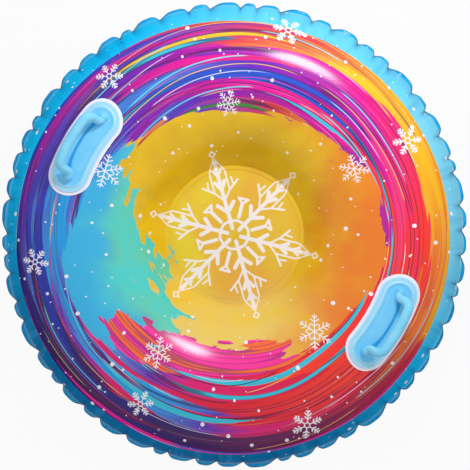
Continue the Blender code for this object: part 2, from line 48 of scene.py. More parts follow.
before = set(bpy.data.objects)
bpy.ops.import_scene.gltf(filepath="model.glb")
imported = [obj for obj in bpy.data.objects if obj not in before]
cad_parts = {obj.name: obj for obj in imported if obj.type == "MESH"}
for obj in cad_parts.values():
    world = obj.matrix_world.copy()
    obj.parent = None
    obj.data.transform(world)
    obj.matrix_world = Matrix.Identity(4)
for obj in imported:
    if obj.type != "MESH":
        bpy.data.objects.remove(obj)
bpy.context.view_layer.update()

TOP = 1
BOTTOM = -1
SIDES = (("right", 0.0), ("left", math.pi))
MERGE_DISTANCE = 0.00001
HARD_ANGLE = math.radians(24)
VALVE_ANGLE = math.radians(-90)
WHITE = (1.0, 1.0, 1.0, 1.0)
FLOOR_COLOUR = (0.72, 0.72, 0.73)
FLOOR_WHITENESS = 0.93

# Points round the turned and swept shapes, and steps round and along a pad's edge
SEAT_SEGMENTS = 192
FOOT_SEGMENTS = 32
BAR_SEGMENTS = 28
BEAD_SEGMENTS = 20
VALVE_SEGMENTS = 48
PAD_ARC_STEPS = 22
PAD_SIDE_CUTS = 29

# Steps and halvings of the sums that find the tube's section
DROP_STEPS = 200
SECTION_STEPS = 48
HALVINGS = 50

# How far the skin's bend beside the seat runs, and how far before the puckers its rows draw closer; the gap
# round the seat's groove; the floor's gap under the tube; and how far the camera lies beside the middle
BEND_REACH = 0.02
GATHER_LEAD = 0.03
GROOVE_GAP = 0.0004
FLOOR_GAP = 0.0005
CAMERA_RIGHT = 0.0015
CAMERA_DOWN = 0.0004

# Small sizes of a pad: its rounding and slopes, and the edges where it is moulded thin
PAD_ROUNDING = 0.0006
STEP_SLOPE = 0.0010
DISH_SLOPE = 0.0030
FLANGE_EDGE = 0.0012
STEP_EDGE = 0.0010
RIM_EDGE = 0.0008

# The painted shadow beside a bar: its place from the handle's middle line, its bend and its half width, with
# what they grow by at its ends, and how far it stops inside the grip's ends
BAR_SHADOW_OUT = 0.0088
BAR_SHADOW_BEND = 0.0070
BAR_SHADOW_WIDTH = 0.0036
BAR_SHADOW_FLARE = 0.0062
BAR_SHADOW_END = 0.0040

# The straight end of a grip before its first bend, and how far a foot reaches down into its pad
GRIP_END = 0.0010
FOOT_SINK = 0.0010

# Small sizes of the valve: its lift over the skin's curve, the ring pressed in its flange, the plug's hollow
# head, the roundings of its pieces and the flap's relief
SKIN_GAP = 0.0002
RING_INSET = 0.0030
RING_WIDTH = 0.0032
RING_SLOPE = 0.0004
PLUG_HOLLOW = 0.0004
VALVE_ROUNDING = 0.0005
EDGE_ROUNDING = 0.0006
BAR_ROUNDING = 0.0003
FLAP_RELIEF = 0.0002

# The plug's shank and its bead, as (radius, depth under the head) places, and the depth where the tip begins
SHANK = ((0.0050, 0.0), (0.0050, 0.0012), (0.0046, 0.0018))
TIP_START = 0.0025

# A foot: how much it flares, how far its domed end turns and reaches out, and how full the dome is
FOOT_FLARE = 0.28
DOME_TURN = math.radians(86)
DOME_REACH = 1.15
DOME_FULLNESS = 0.6

# The seam's margin: shares of its width, from inside to its cut edge, and of its thickness there
MARGIN_SHARES = ((0.0, 1.0), (0.30, 1.0), (0.55, 1.0), (0.75, 1.0), (0.88, 1.0), (0.96, 0.8), (1.0, 0.25))

# A skin's point is on the weld when it is this near to the seam, from 0 to 1
AT_SEAM = 0.999

# The painted shade of a fold runs this many times as far inwards as its crease
FOLD_REACH = 1.6

# How far a lobe's fullest place leans from its middle, and the shares of the swell and of the notch that
# show in the skins
LOBE_LEAN = 1.35
SKIN_SWELL = 0.70
SKIN_NOTCH = 1.65


def tint(code):
    """A scene colour from the six digits of a screen colour."""
    levels = [int(code[start:start + 2], 16) / 255 for start in (0, 2, 4)]
    return tuple(level / 12.92 if level <= 0.04045 else ((level + 0.055) / 1.055) ** 2.4 for level in levels)


def length(name, description, default):
    """A size in metres."""
    return FloatProperty(name=name, description=description, default=default, min=0.0, unit="LENGTH",
                         subtype="DISTANCE", precision=5)


def tilt(name, description, degrees):
    """An angle."""
    return FloatProperty(name=name, description=description, default=math.radians(degrees), subtype="ANGLE")


def shade(name, description, code):
    """A colour."""
    return FloatVectorProperty(name=name, description=description, default=tint(code), min=0.0, max=1.0,
                               subtype="COLOR", size=3)


def count(name, description, default):
    """A number of things."""
    return IntProperty(name=name, description=description, default=default, min=1)


# Settings that a user would change

class TubeSizes(bpy.types.PropertyGroup):
    """Sizes of the skins and of the seam that gathers them."""

    seat_radius: length("Seat radius", "Radius of the inner weld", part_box("seat_floor")[1].x)
    seam_radius: length("Seam radius", "Radius of the outer weld", 0.460)
    seam_height: length("Seam height", "Height of both welds over the ground",
                        (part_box("outer_seam")[0].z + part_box("outer_seam")[1].z) / 2)
    skin_base: length("Skin base", "Height of a skin's outer face over the weld plane at a weld", 0.0016)
    top_thickness: length("Top skin", "Thickness of the printed skin", 0.0006)
    bottom_thickness: length("Bottom skin", "Thickness of the plain skin", 0.0008)
    floor_thickness: length("Seat floor", "Thickness of both skins fused together", 0.0014)
    seat_margin: length("Seat margin", "Width of the skin that is welded to the seat floor", 0.008)
    groove_width: length("Weld groove", "Width of the groove that the weld leaves in the seat floor", 0.0025)
    groove_depth: length("Groove depth", "Depth of the groove in the seat floor", 0.0004)
    seam_thickness: length("Seam thickness", "Thickness of the welded margins", 0.0012)
    seam_overhang: length("Seam overhang", "Width of the margin outside the weld", 0.0085)
    seam_tuck: length("Seam tuck", "How far the margin reaches in between the skins", 0.012)
    lobes: count("Lobes", "Number of gathers round the seam", 57)
    columns: count("Columns", "Points round each gather", 14)
    swell: length("Swell", "How far a gather swells out", 0.0030)
    notch: length("Notch", "How far the seam is drawn in between two gathers", 0.0055)
    reach: length("Crease reach", "How far a crease runs inwards from the seam", 0.060)
    dip: length("Notch dip", "How far the margin turns down at a notch", 0.0045)
    unevenness: length("Unevenness", "Slow unevenness of the blown-up skins", 0.0009)


class PrintColours(bpy.types.PropertyGroup):
    """Colours and sizes of the printed pattern."""

    border: shade("Border", "Plain border beside the seam", "06C4FF")
    # Colour of the border's painted shade, on its side away from the lamp
    border_painted_shade: shade("Deep border", "The border where it deepens", "0070AA")
    gold: shade("Gold", "Ground of the bowl", "EEC41A")
    wash: shade("Wash", "Brushed wash on the bowl", "4FD3CF")
    stroke: shade("Stroke", "Brush strokes on the bowl", "FF34A0")
    flake: shade("Flake", "Printed flakes and dots", "F6F4FC")
    flake_size: length("Flake size", "Reach of a small flake", 0.033)
    star_size: length("Star size", "Reach of the star in the middle", 0.198)
    border_width: length("Border width", "Width of the plain border, along the film", 0.1035)


class HandleSizes(bpy.types.PropertyGroup):
    """Sizes and colours of the handles."""

    outset: length("Outset", "How far outside the crest a handle's middle lies", 0.0020)
    patch_length: length("Patch length", "Length of the white patch", 0.200)
    patch_width: length("Patch width", "Width of the white patch", 0.083)
    patch_thickness: length("Patch thickness", "Thickness of the white patch", 0.0008)
    patch_margin: length("Patch margin", "Width of the patch that shows round the pad", 0.006)
    flange_width: length("Flange width", "Width of the pad's flange", 0.0085)
    flange_thickness: length("Flange thickness", "Thickness of the pad's flange", 0.0020)
    pad_step: length("Pad step", "Height of the pad's rim over its flange", 0.0025)
    rim_width: length("Rim width", "Width of the pad's rim", 0.0035)
    dish_depth: length("Dish depth", "Depth of the dish inside the rim", 0.0015)
    grip_span: length("Grip span", "Distance between a grip's ends", 0.128)
    grip_radius: length("Grip radius", "Radius of the bar", 0.0085)
    grip_rise: length("Grip rise", "Height of the bar over its hinge line", 0.034)
    grip_lean: tilt("Grip lean", "How far a grip lies over outwards", 34)
    foot_bend: length("Foot bend", "Radius of a grip's bend beside its foot", 0.0085)
    top_bend: length("Top bend", "Radius of a grip's bend beside its bar", 0.0140)
    foot_radius: length("Foot radius", "Radius of a foot", 0.0075)
    foot_length: length("Foot length", "Length of a foot", 0.0070)
    pad_colour: shade("Pad colour", "Moulded pad", "74D2FF")
    rim_colour: shade("Rim colour", "Thin moulded edges", "C4EAFC")


class ValveSizes(bpy.types.PropertyGroup):
    """Sizes of the inflation valve."""

    travel: length("Travel", "Distance along the skin from the ring it stands on", 0.105)
    flange_radius: length("Flange radius", "Radius of the welded flange", 0.019)
    flange_thickness: length("Flange thickness", "Thickness of the welded flange", 0.0014)
    stem_radius: length("Stem radius", "Outside of the stem", 0.0070)
    bore: length("Bore", "Inside of the stem", 0.0053)
    stem_length: length("Stem length", "Length of the stem with its collar", 0.0230)
    collar_radius: length("Collar radius", "Radius of the stem's collar", 0.0090)
    collar_thickness: length("Collar thickness", "Thickness of the stem's collar", 0.0019)
    plug_radius: length("Plug head", "Radius of the plug's head", 0.0075)
    plug_thickness: length("Plug thickness", "Thickness of the plug's head", 0.0020)
    plug_tip: length("Plug tip", "Radius of the plug's tip", 0.0040)
    plug_length: length("Plug length", "Length of the plug below its head", 0.0050)
    strap_reach: length("Strap reach", "Distance from the stem's axis to the strap's hinge", 0.0130)
    strap_width: length("Strap width", "Width of the strap", 0.0050)
    strap_thickness: length("Strap thickness", "Thickness of the strap", 0.0012)
    lug_thickness: length("Lug thickness", "Thickness of the strap's lug", 0.0013)
    bead_radius: length("Hinge bead", "Radius of the strap's hinge", 0.0012)
    flap_radius: length("Flap radius", "Radius of the non-return flap", 0.0062)
    flap_thickness: length("Flap thickness", "Thickness of the non-return flap", 0.0008)
    clearance: length("Clearance", "Gap that stands in for a weld or a sliding fit", 0.0003)


class StageSizes(bpy.types.PropertyGroup):
    """Floor, lamp, sky and camera."""

    camera_height: length("Camera height", "Height of the camera over the seam", 1.70)
    camera_turn: tilt("Camera turn", "Turn of the picture about its middle", 30.5)
    frame_width: length("Frame width", "Width that the picture covers at the seam", 0.9538)
    floor_reach: length("Floor reach", "Radius of the floor", 14.0)
    lamp_distance: length("Lamp distance", "Distance of the lamp", 1.1)
    lamp_turn: tilt("Lamp turn", "Direction of the lamp round the tube", 98.5)
    lamp_slant: tilt("Lamp slant", "How far the lamp lies from straight above", 38)
    lamp_length: length("Lamp length", "Longer side of the lamp", 0.25)
    lamp_width: length("Lamp width", "Shorter side of the lamp", 0.18)
    lamp_power: FloatProperty(name="Lamp power", description="Power of the lamp", default=4.8, min=0.0,
                              unit="POWER")
    sky: FloatProperty(name="Sky", description="Strength of the even light from all sides", default=0.62,
                       min=0.0)


SETTINGS = {
    "tube_sizes": TubeSizes,
    "print_colours": PrintColours,
    "handle_sizes": HandleSizes,
    "valve_sizes": ValveSizes,
    "stage_sizes": StageSizes,
}


# Shape of the blown-up tube

class Tube:
    """The skins' shape. The film is slack round the ring, so the sine of its slope falls evenly with
    radius squared. Travel is measured along the film from the crest, positive outwards."""

    def __init__(self, sizes):
        self.sizes = sizes
        seat = sizes.seat_radius
        seam = sizes.seam_radius
        low = 0.0
        high = math.pi / 2
        for _ in range(HALVINGS):
            slope = (low + high) / 2
            self.bulge = 2 * (1 + math.sin(slope)) / (seam ** 2 - seat ** 2)
            self.crest = math.sqrt(seat ** 2 + 2 * math.sin(slope) / self.bulge)
            if self.measure(slope)[1] > self.measure(-math.pi / 2)[1]:
                high = slope
            else:
                low = slope
        self.seat_travel = self.measure(slope)[0]
        self.seam_travel, self.height = self.measure(-math.pi / 2)
        self.pucker_start = self.seam_travel - sizes.reach
        self.sections = {}
        self.widths = self.lobe_widths()
        total = sum(self.widths)
        self.notches = [math.tau * sum(self.widths[:lobe]) / total for lobe in range(sizes.lobes + 1)]
        self.columns = sizes.lobes * sizes.columns

    def measure(self, slope):
        """Travel from the crest to the place with this slope, and the drop on the way."""
        travel = 0.0
        drop = 0.0
        for step in range(DROP_STEPS):
            turn = slope * (step + 0.5) / DROP_STEPS
            radius = math.sqrt(self.crest ** 2 - 2 * math.sin(turn) / self.bulge)
            stretch = slope / DROP_STEPS / (self.bulge * radius)
            travel -= stretch
            drop += math.sin(turn) * stretch
        return travel, drop

    def travel_to(self, radius):
        """Travel at a radius between the two welds."""
        return self.measure(math.asin(self.bulge * (self.crest ** 2 - radius ** 2) / 2))[0]

    def section(self, travel):
        """Radius, height over the weld plane, and slope at a travel."""
        key = round(travel, 7)
        if key not in self.sections:
            radius = self.crest
            height = self.height
            slope = 0.0
            step = travel / SECTION_STEPS
            for _ in range(SECTION_STEPS):
                middle_slope = slope - self.bulge * radius * step / 2
                middle_radius = radius + math.cos(slope) * step / 2
                radius += math.cos(middle_slope) * step
                height += math.sin(middle_slope) * step
                slope -= self.bulge * middle_radius * step
            self.sections[key] = (radius, height, slope)
        return self.sections[key]

    def film_radius(self, travel):
        """Distance from the middle of the flat film, before it was blown up."""
        return self.sizes.seat_radius + travel - self.seat_travel

    def unevenness(self, angle, travel):
        """Slow swelling of the skins, which fades out at both welds."""
        fade = math.sin(math.pi * (travel - self.seat_travel) / (self.seam_travel - self.seat_travel))
        wave = math.sin(3 * angle + 1) + 0.6 * math.sin(7 * angle + 40 * travel)
        return self.sizes.unevenness * fade * (wave + 0.4 * math.sin(13 * angle + 2)) / 2

    def point(self, side, angle, travel, lift=0.0):
        """A point over a skin's outer face. Inside the inner weld the skin lies flat on the floor."""
        margin = min(0.0, travel - self.seat_travel)
        radius, height, slope = self.section(max(travel, self.seat_travel))
        if margin < 0.0:
            slope = 0.0
        elif travel < self.seam_travel and side == TOP:
            lift += self.unevenness(angle, travel)
        radius += margin - lift * math.sin(slope)
        height += lift * math.cos(slope) + self.sizes.skin_base
        level = max(self.sizes.seam_height + side * height, min(0.0, -lift))
        return Vector((radius * math.cos(angle), radius * math.sin(angle), level))

    def lobe_widths(self):
        """Uneven widths of the seam's lobes, as shares of the mean width."""
        lobes = range(self.sizes.lobes)
        return [1 + 0.30 * math.sin(2.4 * lobe) + 0.16 * math.sin(5.1 * lobe + 1) for lobe in lobes]

    def column_at(self, point):
        """Number of the evenly spaced column that a point stands in."""
        return round(math.atan2(point.y, point.x) / math.tau * self.columns) % self.columns

    def lobe_at(self, column):
        """Lobe of a column, and its place in the lobe from 0 to 1."""
        return column // self.sizes.columns, column % self.sizes.columns / self.sizes.columns

    def angle_at(self, column, travel):
        """Angle of a column: evenly spaced inside the crest, and uneven like the lobes at the seam."""
        even = math.tau * column / self.columns
        lobe, share = self.lobe_at(column)
        uneven = self.notches[lobe] + share * (self.notches[lobe + 1] - self.notches[lobe])
        drift = min(1.0, max(0.0, travel / self.pucker_start))
        return even + drift * (uneven - even)

    def lobe_shape(self, column):
        """How far a column is swollen by its lobe, and how far it is creased, both from 0 to 1. The
        lobes lean, with their fullest place before their middle."""
        lobe, share = self.lobe_at(column)
        leaning = 1 - (1 - share) ** LOBE_LEAN
        crease = (1 - math.sin(math.pi * leaning)) ** 2
        return self.widths[lobe] ** 1.5 * (1 - crease), crease

    def gather(self, column, travel):
        """How far the seam's gathers lift the skin, or fold it in, at a column."""
        lobe, share = self.lobe_at(column)
        reach = self.sizes.reach * (1.25 + 0.30 * math.sin(3.7 * lobe))
        near = max(0.0, 1 - (self.seam_travel - travel) / reach)
        swell, crease = self.lobe_shape(column)
        fold = crease ** (1 + 1.2 * (1 - near)) * near ** 1.1 * (1 - 0.8 * near ** 6)
        turned = math.tau * share
        pleat = math.sin(turned * 2 + 2.1 * lobe) + 0.5 * math.sin(turned * 3 + 4.3 * lobe)
        fine = 0.22 * pleat * near * (1 - near) * (1 - crease)
        lift = self.sizes.swell * (swell * near ** 1.3 * SKIN_SWELL + fine)
        return lift - self.sizes.notch * fold * SKIN_NOTCH

    def margin_reach(self, column):
        """Radius of the welded margin's cut edge at a column."""
        swell, crease = self.lobe_shape(column)
        edge = self.sizes.seam_radius + self.sizes.seam_overhang
        return edge + self.sizes.swell * swell - self.sizes.notch * crease

    def dip(self, column):
        """How far the margin is turned up or down at a column."""
        lobe, share = self.lobe_at(column)
        crease = self.lobe_shape(column)[1]
        curl = 0.3 * math.sin(2.9 * lobe) * math.sin(math.pi * share)
        return self.sizes.dip * (curl - crease)


# Materials

def full_colour(colour):
    """A colour ready for a socket, from its value, its numbers or its code."""
    if isinstance(colour, Value):
        return colour
    return (*(tint(colour) if isinstance(colour, str) else colour), 1.0)


class Value:
    """A value inside a node tree. Python's operators on it make Math nodes."""

    def __init__(self, nodes, socket):
        self.nodes = nodes
        self.socket = socket

    def math(self, operation, *others):
        """A Math node with this value as its first input."""
        return self.nodes.math(operation, self, *others)

    def __add__(self, other):
        return self.math("ADD", other)

    def __radd__(self, other):
        return self.nodes.math("ADD", other, self)

    def __sub__(self, other):
        return self.math("SUBTRACT", other)

    def __rsub__(self, other):
        return self.nodes.math("SUBTRACT", other, self)

    def __mul__(self, other):
        return self.math("MULTIPLY", other)

    def __rmul__(self, other):
        return self.nodes.math("MULTIPLY", other, self)

    def __truediv__(self, other):
        return self.math("DIVIDE", other)

    def __pow__(self, other):
        return self.math("POWER", other)

    def __mod__(self, other):
        return self.math("FLOORED_MODULO", other)

    def __abs__(self):
        return self.math("ABSOLUTE")

    def lowest(self, other):
        """The lower of two values."""
        return self.math("MINIMUM", other)

    def highest(self, other):
        """The higher of two values."""
        return self.math("MAXIMUM", other)

    def swing(self, size):
        """A value from 0 to 1, moved to lie about 0 and stretched to a size."""
        return (self - 0.5) * size

    def rise(self, low, high):
        """0 at low and 1 at high, with a smooth rise between them."""
        inputs = {"Value": self, "From Min": low, "From Max": high}
        return self.nodes.node("ShaderNodeMapRange", {"interpolation_type": "SMOOTHSTEP"}, inputs)


class Nodes:
    """A node tree, with one method for each way of adding a node to it."""

    def __init__(self, tree):
        self.tree = tree

    def feed(self, socket, value):
        """Give a socket a value or a link."""
        if isinstance(value, Value):
            self.tree.links.new(value.socket, socket)
        else:
            socket.default_value = value

    def node(self, kind, settings=None, inputs=None, output=0):
        """Add a node: its settings come first, and then the values or links of its sockets."""
        made = self.tree.nodes.new(kind)
        for name, setting in (settings or {}).items():
            if name == "stops":
                self.fill_ramp(made.color_ramp, setting)
            elif name == "steps":
                made.color_ramp.interpolation = setting
            else:
                setattr(made, name, setting)
        for name, value in (inputs or {}).items():
            self.feed(made.inputs[name], value)
        return Value(self, made.outputs[output])

    def fill_ramp(self, ramp, stops):
        """Give a colour ramp its stops."""
        while len(ramp.elements) < len(stops):
            ramp.elements.new(1.0)
        for element, (position, colour) in zip(ramp.elements, stops):
            element.position = position
            element.color = full_colour(colour)

    def ramp(self, place, stops, steps="LINEAR"):
        """A colour from a ramp, at a place from 0 to 1."""
        return self.node("ShaderNodeValToRGB", {"steps": steps, "stops": stops}, {"Fac": place})

    def math(self, operation, *values):
        """A Math node."""
        return self.node("ShaderNodeMath", {"operation": operation}, dict(enumerate(values)))

    def mix(self, factor, first, second):
        """A blend of two colours."""
        inputs = {0: factor, 6: full_colour(first), 7: full_colour(second)}
        return self.node("ShaderNodeMix", {"data_type": "RGBA"}, inputs, 2)

    def paint(self, ground, *coats):
        """Lay coats of colour over a ground, each given as where it shows and its colour."""
        for where, colour in coats:
            ground = self.mix(where, ground, colour)
        return ground

    def blend(self, factor, first, second):
        """A blend of two shaders."""
        return self.node("ShaderNodeMixShader", None, {0: factor, 1: first, 2: second})

    def join(self, x, y, z):
        """A vector from its three numbers."""
        return self.node("ShaderNodeCombineXYZ", None, {0: x, 1: y, 2: z})

    def outputs(self, value):
        """Every output of the node that a value comes from."""
        return [Value(self, socket) for socket in value.socket.node.outputs]

    def split(self, vector):
        """The three numbers of a vector."""
        return self.outputs(self.node("ShaderNodeSeparateXYZ", None, {0: vector}))

    def attribute(self, name, output="Fac"):
        """An attribute of the mesh."""
        return self.node("ShaderNodeAttribute", {"attribute_name": name}, None, output)

    def noise(self, vector, scale=1.0, detail=2.0):
        """Noise from about 0.3 to 0.7."""
        inputs = {"Vector": vector, "Scale": scale, "Detail": detail, "Roughness": 0.5}
        return self.node("ShaderNodeTexNoise", None, inputs)

    def cells(self, vector, output, feature="F1", scale=1.0, randomness=1.0, dimensions="3D"):
        """Cells with their seeds spread by chance."""
        settings = {"voronoi_dimensions": dimensions, "feature": feature}
        inputs = {"Vector": vector, "Scale": scale, "Randomness": randomness}
        return self.node("ShaderNodeTexVoronoi", settings, inputs, output)

    def plain_to_camera(self):
        """1 for rays that see the background, straight or in a reflection, and 0 for rays that light."""
        rays = {ray.socket.name: ray for ray in self.outputs(self.node("ShaderNodeLightPath"))}
        return rays["Is Camera Ray"].highest(rays["Is Glossy Ray"]).highest(rays["Is Transmission Ray"])

    def show(self, output, shader):
        """Show a shader on the surface."""
        self.feed(self.tree.nodes[output].inputs["Surface"], shader)


class Finish(Nodes):
    """A material with its shader."""

    def __init__(self, name, colour, roughness, coat=0.0):
        self.material = bpy.data.materials.new(name)
        self.material.use_nodes = True
        super().__init__(self.material.node_tree)
        self.shader = self.tree.nodes["Principled BSDF"]
        self.look = Value(self, self.shader.outputs[0])
        self.set("Base Color", full_colour(colour))
        self.set("Roughness", roughness)
        self.set("Specular IOR Level", 0.0)
        self.set("Coat Weight", coat)
        self.set("Coat Roughness", 0.10)

    def set(self, name, value):
        """Give one of the shader's sockets a value or a link."""
        self.feed(self.shader.inputs[name], value)

    def bump(self, height, distance, strength=0.6):
        """Give the shader a bump."""
        inputs = {"Height": height, "Distance": distance, "Strength": strength}
        self.set("Normal", self.node("ShaderNodeBump", None, inputs))


# Printed pattern. Its places are given on the flat film, in metres from its middle

# Ground colours round the tube, outside and inside BAND_MIDDLE, by place on the wheel from 0 to 1.
# WHEEL_START is the place beside the right handle
OUTER_WHEEL = (
    (0.00, "F4AC14"), (0.14, "F6B818"), (0.25, "DC3A44"), (0.35, "5E3CC0"), (0.44, "2038BC"),
    (0.55, "18209A"), (0.66, "2C0062"), (0.78, "740052"), (0.87, "C80A3C"), (0.93, "F27418"),
    (1.00, "F4AC14"),
)
INNER_WHEEL = (
    (0.00, "FA3030"), (0.14, "EC0890"), (0.28, "A008A0"), (0.35, "5E20B8"), (0.49, "10A0E8"),
    (0.57, "1C9CE4"), (0.62, "6030B4"), (0.66, "E01478"), (0.76, "E01434"), (0.90, "F83C24"),
    (1.00, "FA3030"),
)
ACCENTS = (
    (0.00, "2E0E48"), (0.13, "32C0DA"), (0.25, "F2762A"), (0.36, "F4BE2A"), (0.47, "C40E38"),
    (0.57, "2450C8"), (0.67, "EC1294"), (0.77, "52127A"), (0.86, "5AD0EC"), (0.94, "3E8234"),
)
WHEEL_START = 0.915
BAND_START = 0.284
BAND_MIDDLE = 0.412
BAND_EDGE = 0.002

# Long thin lines: how many to a metre, their width as a share of their spacing, seed and colour
THREADS = (
    (19.0, 0.030, 41.3, "6FD4EA"), (23.0, 0.024, 57.1, "F6C860"), (29.0, 0.040, 71.7, "2E0E48"),
    (17.0, 0.016, 97.5, "E8E4F8"), (31.0, 0.022, 113.9, "EC1E8C"),
)

# Half an arm of each flake, along the arm and aside from it, for a reach of 1: (first, last, half width)
SMALL_FLAKE = (
    ((0.20, 0.0), (0.93, 0.0), 0.030), ((0.40, 0.0), (0.53, 0.17), 0.040), ((0.60, 0.0), (0.76, 0.18), 0.040),
    ((0.80, 0.0), (0.90, 0.10), 0.034), ((0.17, 0.0), (0.1475, 0.0850), 0.034),
)
FERN_FLAKE = (
    ((0.0, 0.0), (0.95, 0.0), 0.024), ((0.30, 0.0), (0.43, 0.20), 0.026), ((0.54, 0.0), (0.70, 0.22), 0.024),
    ((0.76, 0.0), (0.87, 0.13), 0.024),
)
LARGE_STAR = (
    ((0.07, 0.0), (0.80, 0.0), 0.0190), ((0.150, 0.0), (0.1300, 0.0750), 0.0130),
    ((0.36, 0.0), (0.46, 0.080), 0.0085), ((0.46, 0.080), (0.66, 0.080), 0.0080),
    ((0.66, 0.080), (0.86, 0.0), 0.0070), ((0.48, 0.0), (0.56, 0.050), 0.0190),
    ((0.62, 0.0), (0.68, 0.040), 0.0130), ((0.46, 0.080), (0.54, 0.185), 0.0100),
    ((0.50, 0.133), (0.58, 0.125), 0.0080), ((0.24, 0.0), (0.33, 0.085), 0.0190),
    ((0.1645, 0.0950), (0.2858, 0.1650), 0.0170), ((0.88, 0.0), (0.92, 0.034), 0.0080),
    ((0.92, 0.034), (0.965, 0.0), 0.0080), ((0.3551, 0.1450), (0.3291, 0.1900), 0.0110),
    ((0.2858, 0.1650), (0.3551, 0.1450), 0.0110),
)
STAR_TURN = math.radians(14)


class FilmPlace:
    """Where a point of the surface lies in the flat printed film."""

    def __init__(self, finish):
        self.finish = finish
        self.x, self.y, _ = finish.split(finish.attribute("film", "Vector"))
        self.radius = (self.x * self.x + self.y * self.y).math("SQRT").highest(0.0005)
        self.turn = self.y.math("ARCTAN2", self.x) / math.tau
        self.across = self.x / self.radius
        self.up = self.y / self.radius

    def at_level(self, level):
        """The place in the film, with a level of its own in the noise above it."""
        return self.finish.join(self.x, self.y, level)

    def drawn_out(self, around, outward, seed=0.0):
        """A place stretched into arcs: around is its waves round the film, outward its waves a metre."""
        return self.finish.join(self.across * around, self.up * around, self.radius * outward + seed)

    def streaks(self, around, outward, seed, detail=3.0):
        """Noise drawn out into arcs."""
        return self.finish.noise(self.drawn_out(around, outward, seed), detail=detail)

    def facing(self, degrees):
        """1 towards an angle round the tube, 0 across it and -1 away from it."""
        angle = math.radians(degrees)
        return self.across * math.cos(angle) + self.up * math.sin(angle)

    def strokes(self, around, outward, seed, ragged):
        """Brush strokes drawn out into arcs: three chances for each stroke, and the place's distance
        from the stroke's edge."""
        finish = self.finish
        angle = self.turn * math.tau + self.streaks(2.2, 520.0, seed + 5.0, 2.0).swing(ragged)
        wander = self.streaks(0.9, 7.0, seed + 9.0, 1.0).swing(2.6)
        vector = finish.join(angle.math("COSINE") * around, angle.math("SINE") * around,
                             self.radius * outward + wander + seed)
        edge = finish.cells(vector, "Distance", "DISTANCE_TO_EDGE")
        return *finish.split(finish.cells(vector, "Color")), edge


def line(x, y, first, last):
    """Distance from a place to a straight line between two points."""
    reach = math.dist(first, last)
    cosine = (last[0] - first[0]) / reach
    sine = (last[1] - first[1]) / reach
    along = (x - first[0]) * cosine + (y - first[1]) * sine
    aside = (y - first[1]) * cosine - (x - first[0]) * sine
    over = along - along.highest(0.0).lowest(reach)
    return (over * over + aside * aside).math("SQRT")


def flake(x, y, turn, lines, blur):
    """1 on the lines of a flake with six arms, and 0 off them. Every half arm is folded onto one."""
    reach = (x * x + y * y).math("SQRT")
    sixth = (y.math("ARCTAN2", x) + turn) / (math.pi / 3)
    off = abs(sixth.math("FRACT") - 0.5) * (math.pi / 3)
    along = reach * off.math("COSINE")
    aside = reach * off.math("SINE")
    near = [line(along, aside, first, last) - width for first, last, width in lines]
    nearest = near[0]
    for other in near[1:]:
        nearest = nearest.lowest(other)
    return nearest.rise(2 * blur, -blur)


def flake_ring(film, lines, number, radius, spread, size, seed):
    """A ring of small flakes, each with its own place, turn and size."""
    finish = film.finish
    place = film.turn * number + seed
    cell = place.math("FLOOR") % number
    chance = finish.node("ShaderNodeTexWhiteNoise", {"noise_dimensions": "2D"},
                         {"Vector": finish.join(cell, seed, 0.0)}, "Color")
    first, second, third = finish.split(chance)
    off = (place.math("FRACT") - 0.5 + first.swing(0.3)) * (math.tau / number)
    reach = size * (0.72 + 0.42 * third)
    x = film.radius * off.math("SINE") / reach
    y = (film.radius * off.math("COSINE") - radius - second.swing(spread)) / reach
    return flake(x, y, first * math.tau, lines, 0.010)


def dots(film, cell, smallest, largest, share, seed):
    """Round printed dots: about one for each cell of the film that chance picks."""
    finish = film.finish
    vector = finish.join(film.x + seed, film.y, 0.0)
    distance = finish.cells(vector, "Distance", scale=1 / cell, randomness=0.9, dimensions="2D") * cell
    chances = finish.cells(vector, "Color", scale=1 / cell, randomness=0.9, dimensions="2D")
    chance, chosen, _ = finish.split(chances)
    radius = smallest + (largest - smallest) * chance
    return (radius - distance).rise(-0.0003, 0.0003) * chosen.rise(1 - share, 1 - share + 0.001)


def painted_bands(finish, film):
    """The painted bands: broad, middling and narrow strokes over each other, thin lines and bristle marks."""
    fine = film.streaks(2.0, 300.0, 23.0, 3.0)
    brushed = film.radius + film.streaks(1.5, 50.0, 11.0, 2.0).swing(0.12) + fine.swing(0.010)
    outside = brushed.rise(BAND_MIDDLE, BAND_MIDDLE + 2 * BAND_EDGE)

    def wheels(where, picked, spread):
        """The inner wheel's colour, and the outer one's where it shows, turned by each stroke's chance."""
        turned = (film.turn + WHEEL_START + picked.swing(spread) + fine.swing(0.08)).math("FRACT")
        return finish.mix(where, finish.ramp(turned, INNER_WHEEL), finish.ramp(turned, OUTER_WHEEL))

    picked, _, _, _ = film.strokes(0.80, 34.0, 3.0, 0.5)
    bands = wheels(outside, picked, 0.15)
    picked, shown, other, _ = film.strokes(0.70, 52.0, 17.0, 0.4)
    strokes = wheels((other + outside.swing(0.5)).rise(0.49, 0.51), picked, 0.30)
    bands = finish.mix(shown.rise(0.50, 0.505), bands, strokes)
    picked, shown, lined, edge = film.strokes(0.60, 100.0, 31.0, 0.3)
    dark = edge.rise(0.10, 0.06) * lined.rise(0.70, 0.705)
    bands = finish.paint(bands, (shown.rise(0.86, 0.865), finish.ramp(picked, ACCENTS, "CONSTANT")),
                         (dark * 0.7, "35154E"))

    flow = film.radius + film.streaks(0.7, 2.0, 41.0, 1.0).swing(0.11)
    for number, width, seed, colour in THREADS:
        thread = abs((flow * number + seed).math("FRACT") - 0.5).rise(width, width * 0.4)
        broken = film.streaks(1.0, 18.0, seed + 4.0, 1.0).rise(0.50, 0.53)
        bands = finish.mix(thread * broken * 0.9, bands, colour)

    bristles = film.streaks(1.4, 340.0, 113.0, 2.0)
    return finish.paint(bands, (bristles.rise(0.60, 0.78) * 0.16, "FFFFFF"),
                        (bristles.rise(0.42, 0.24) * 0.40, "1A0628"))


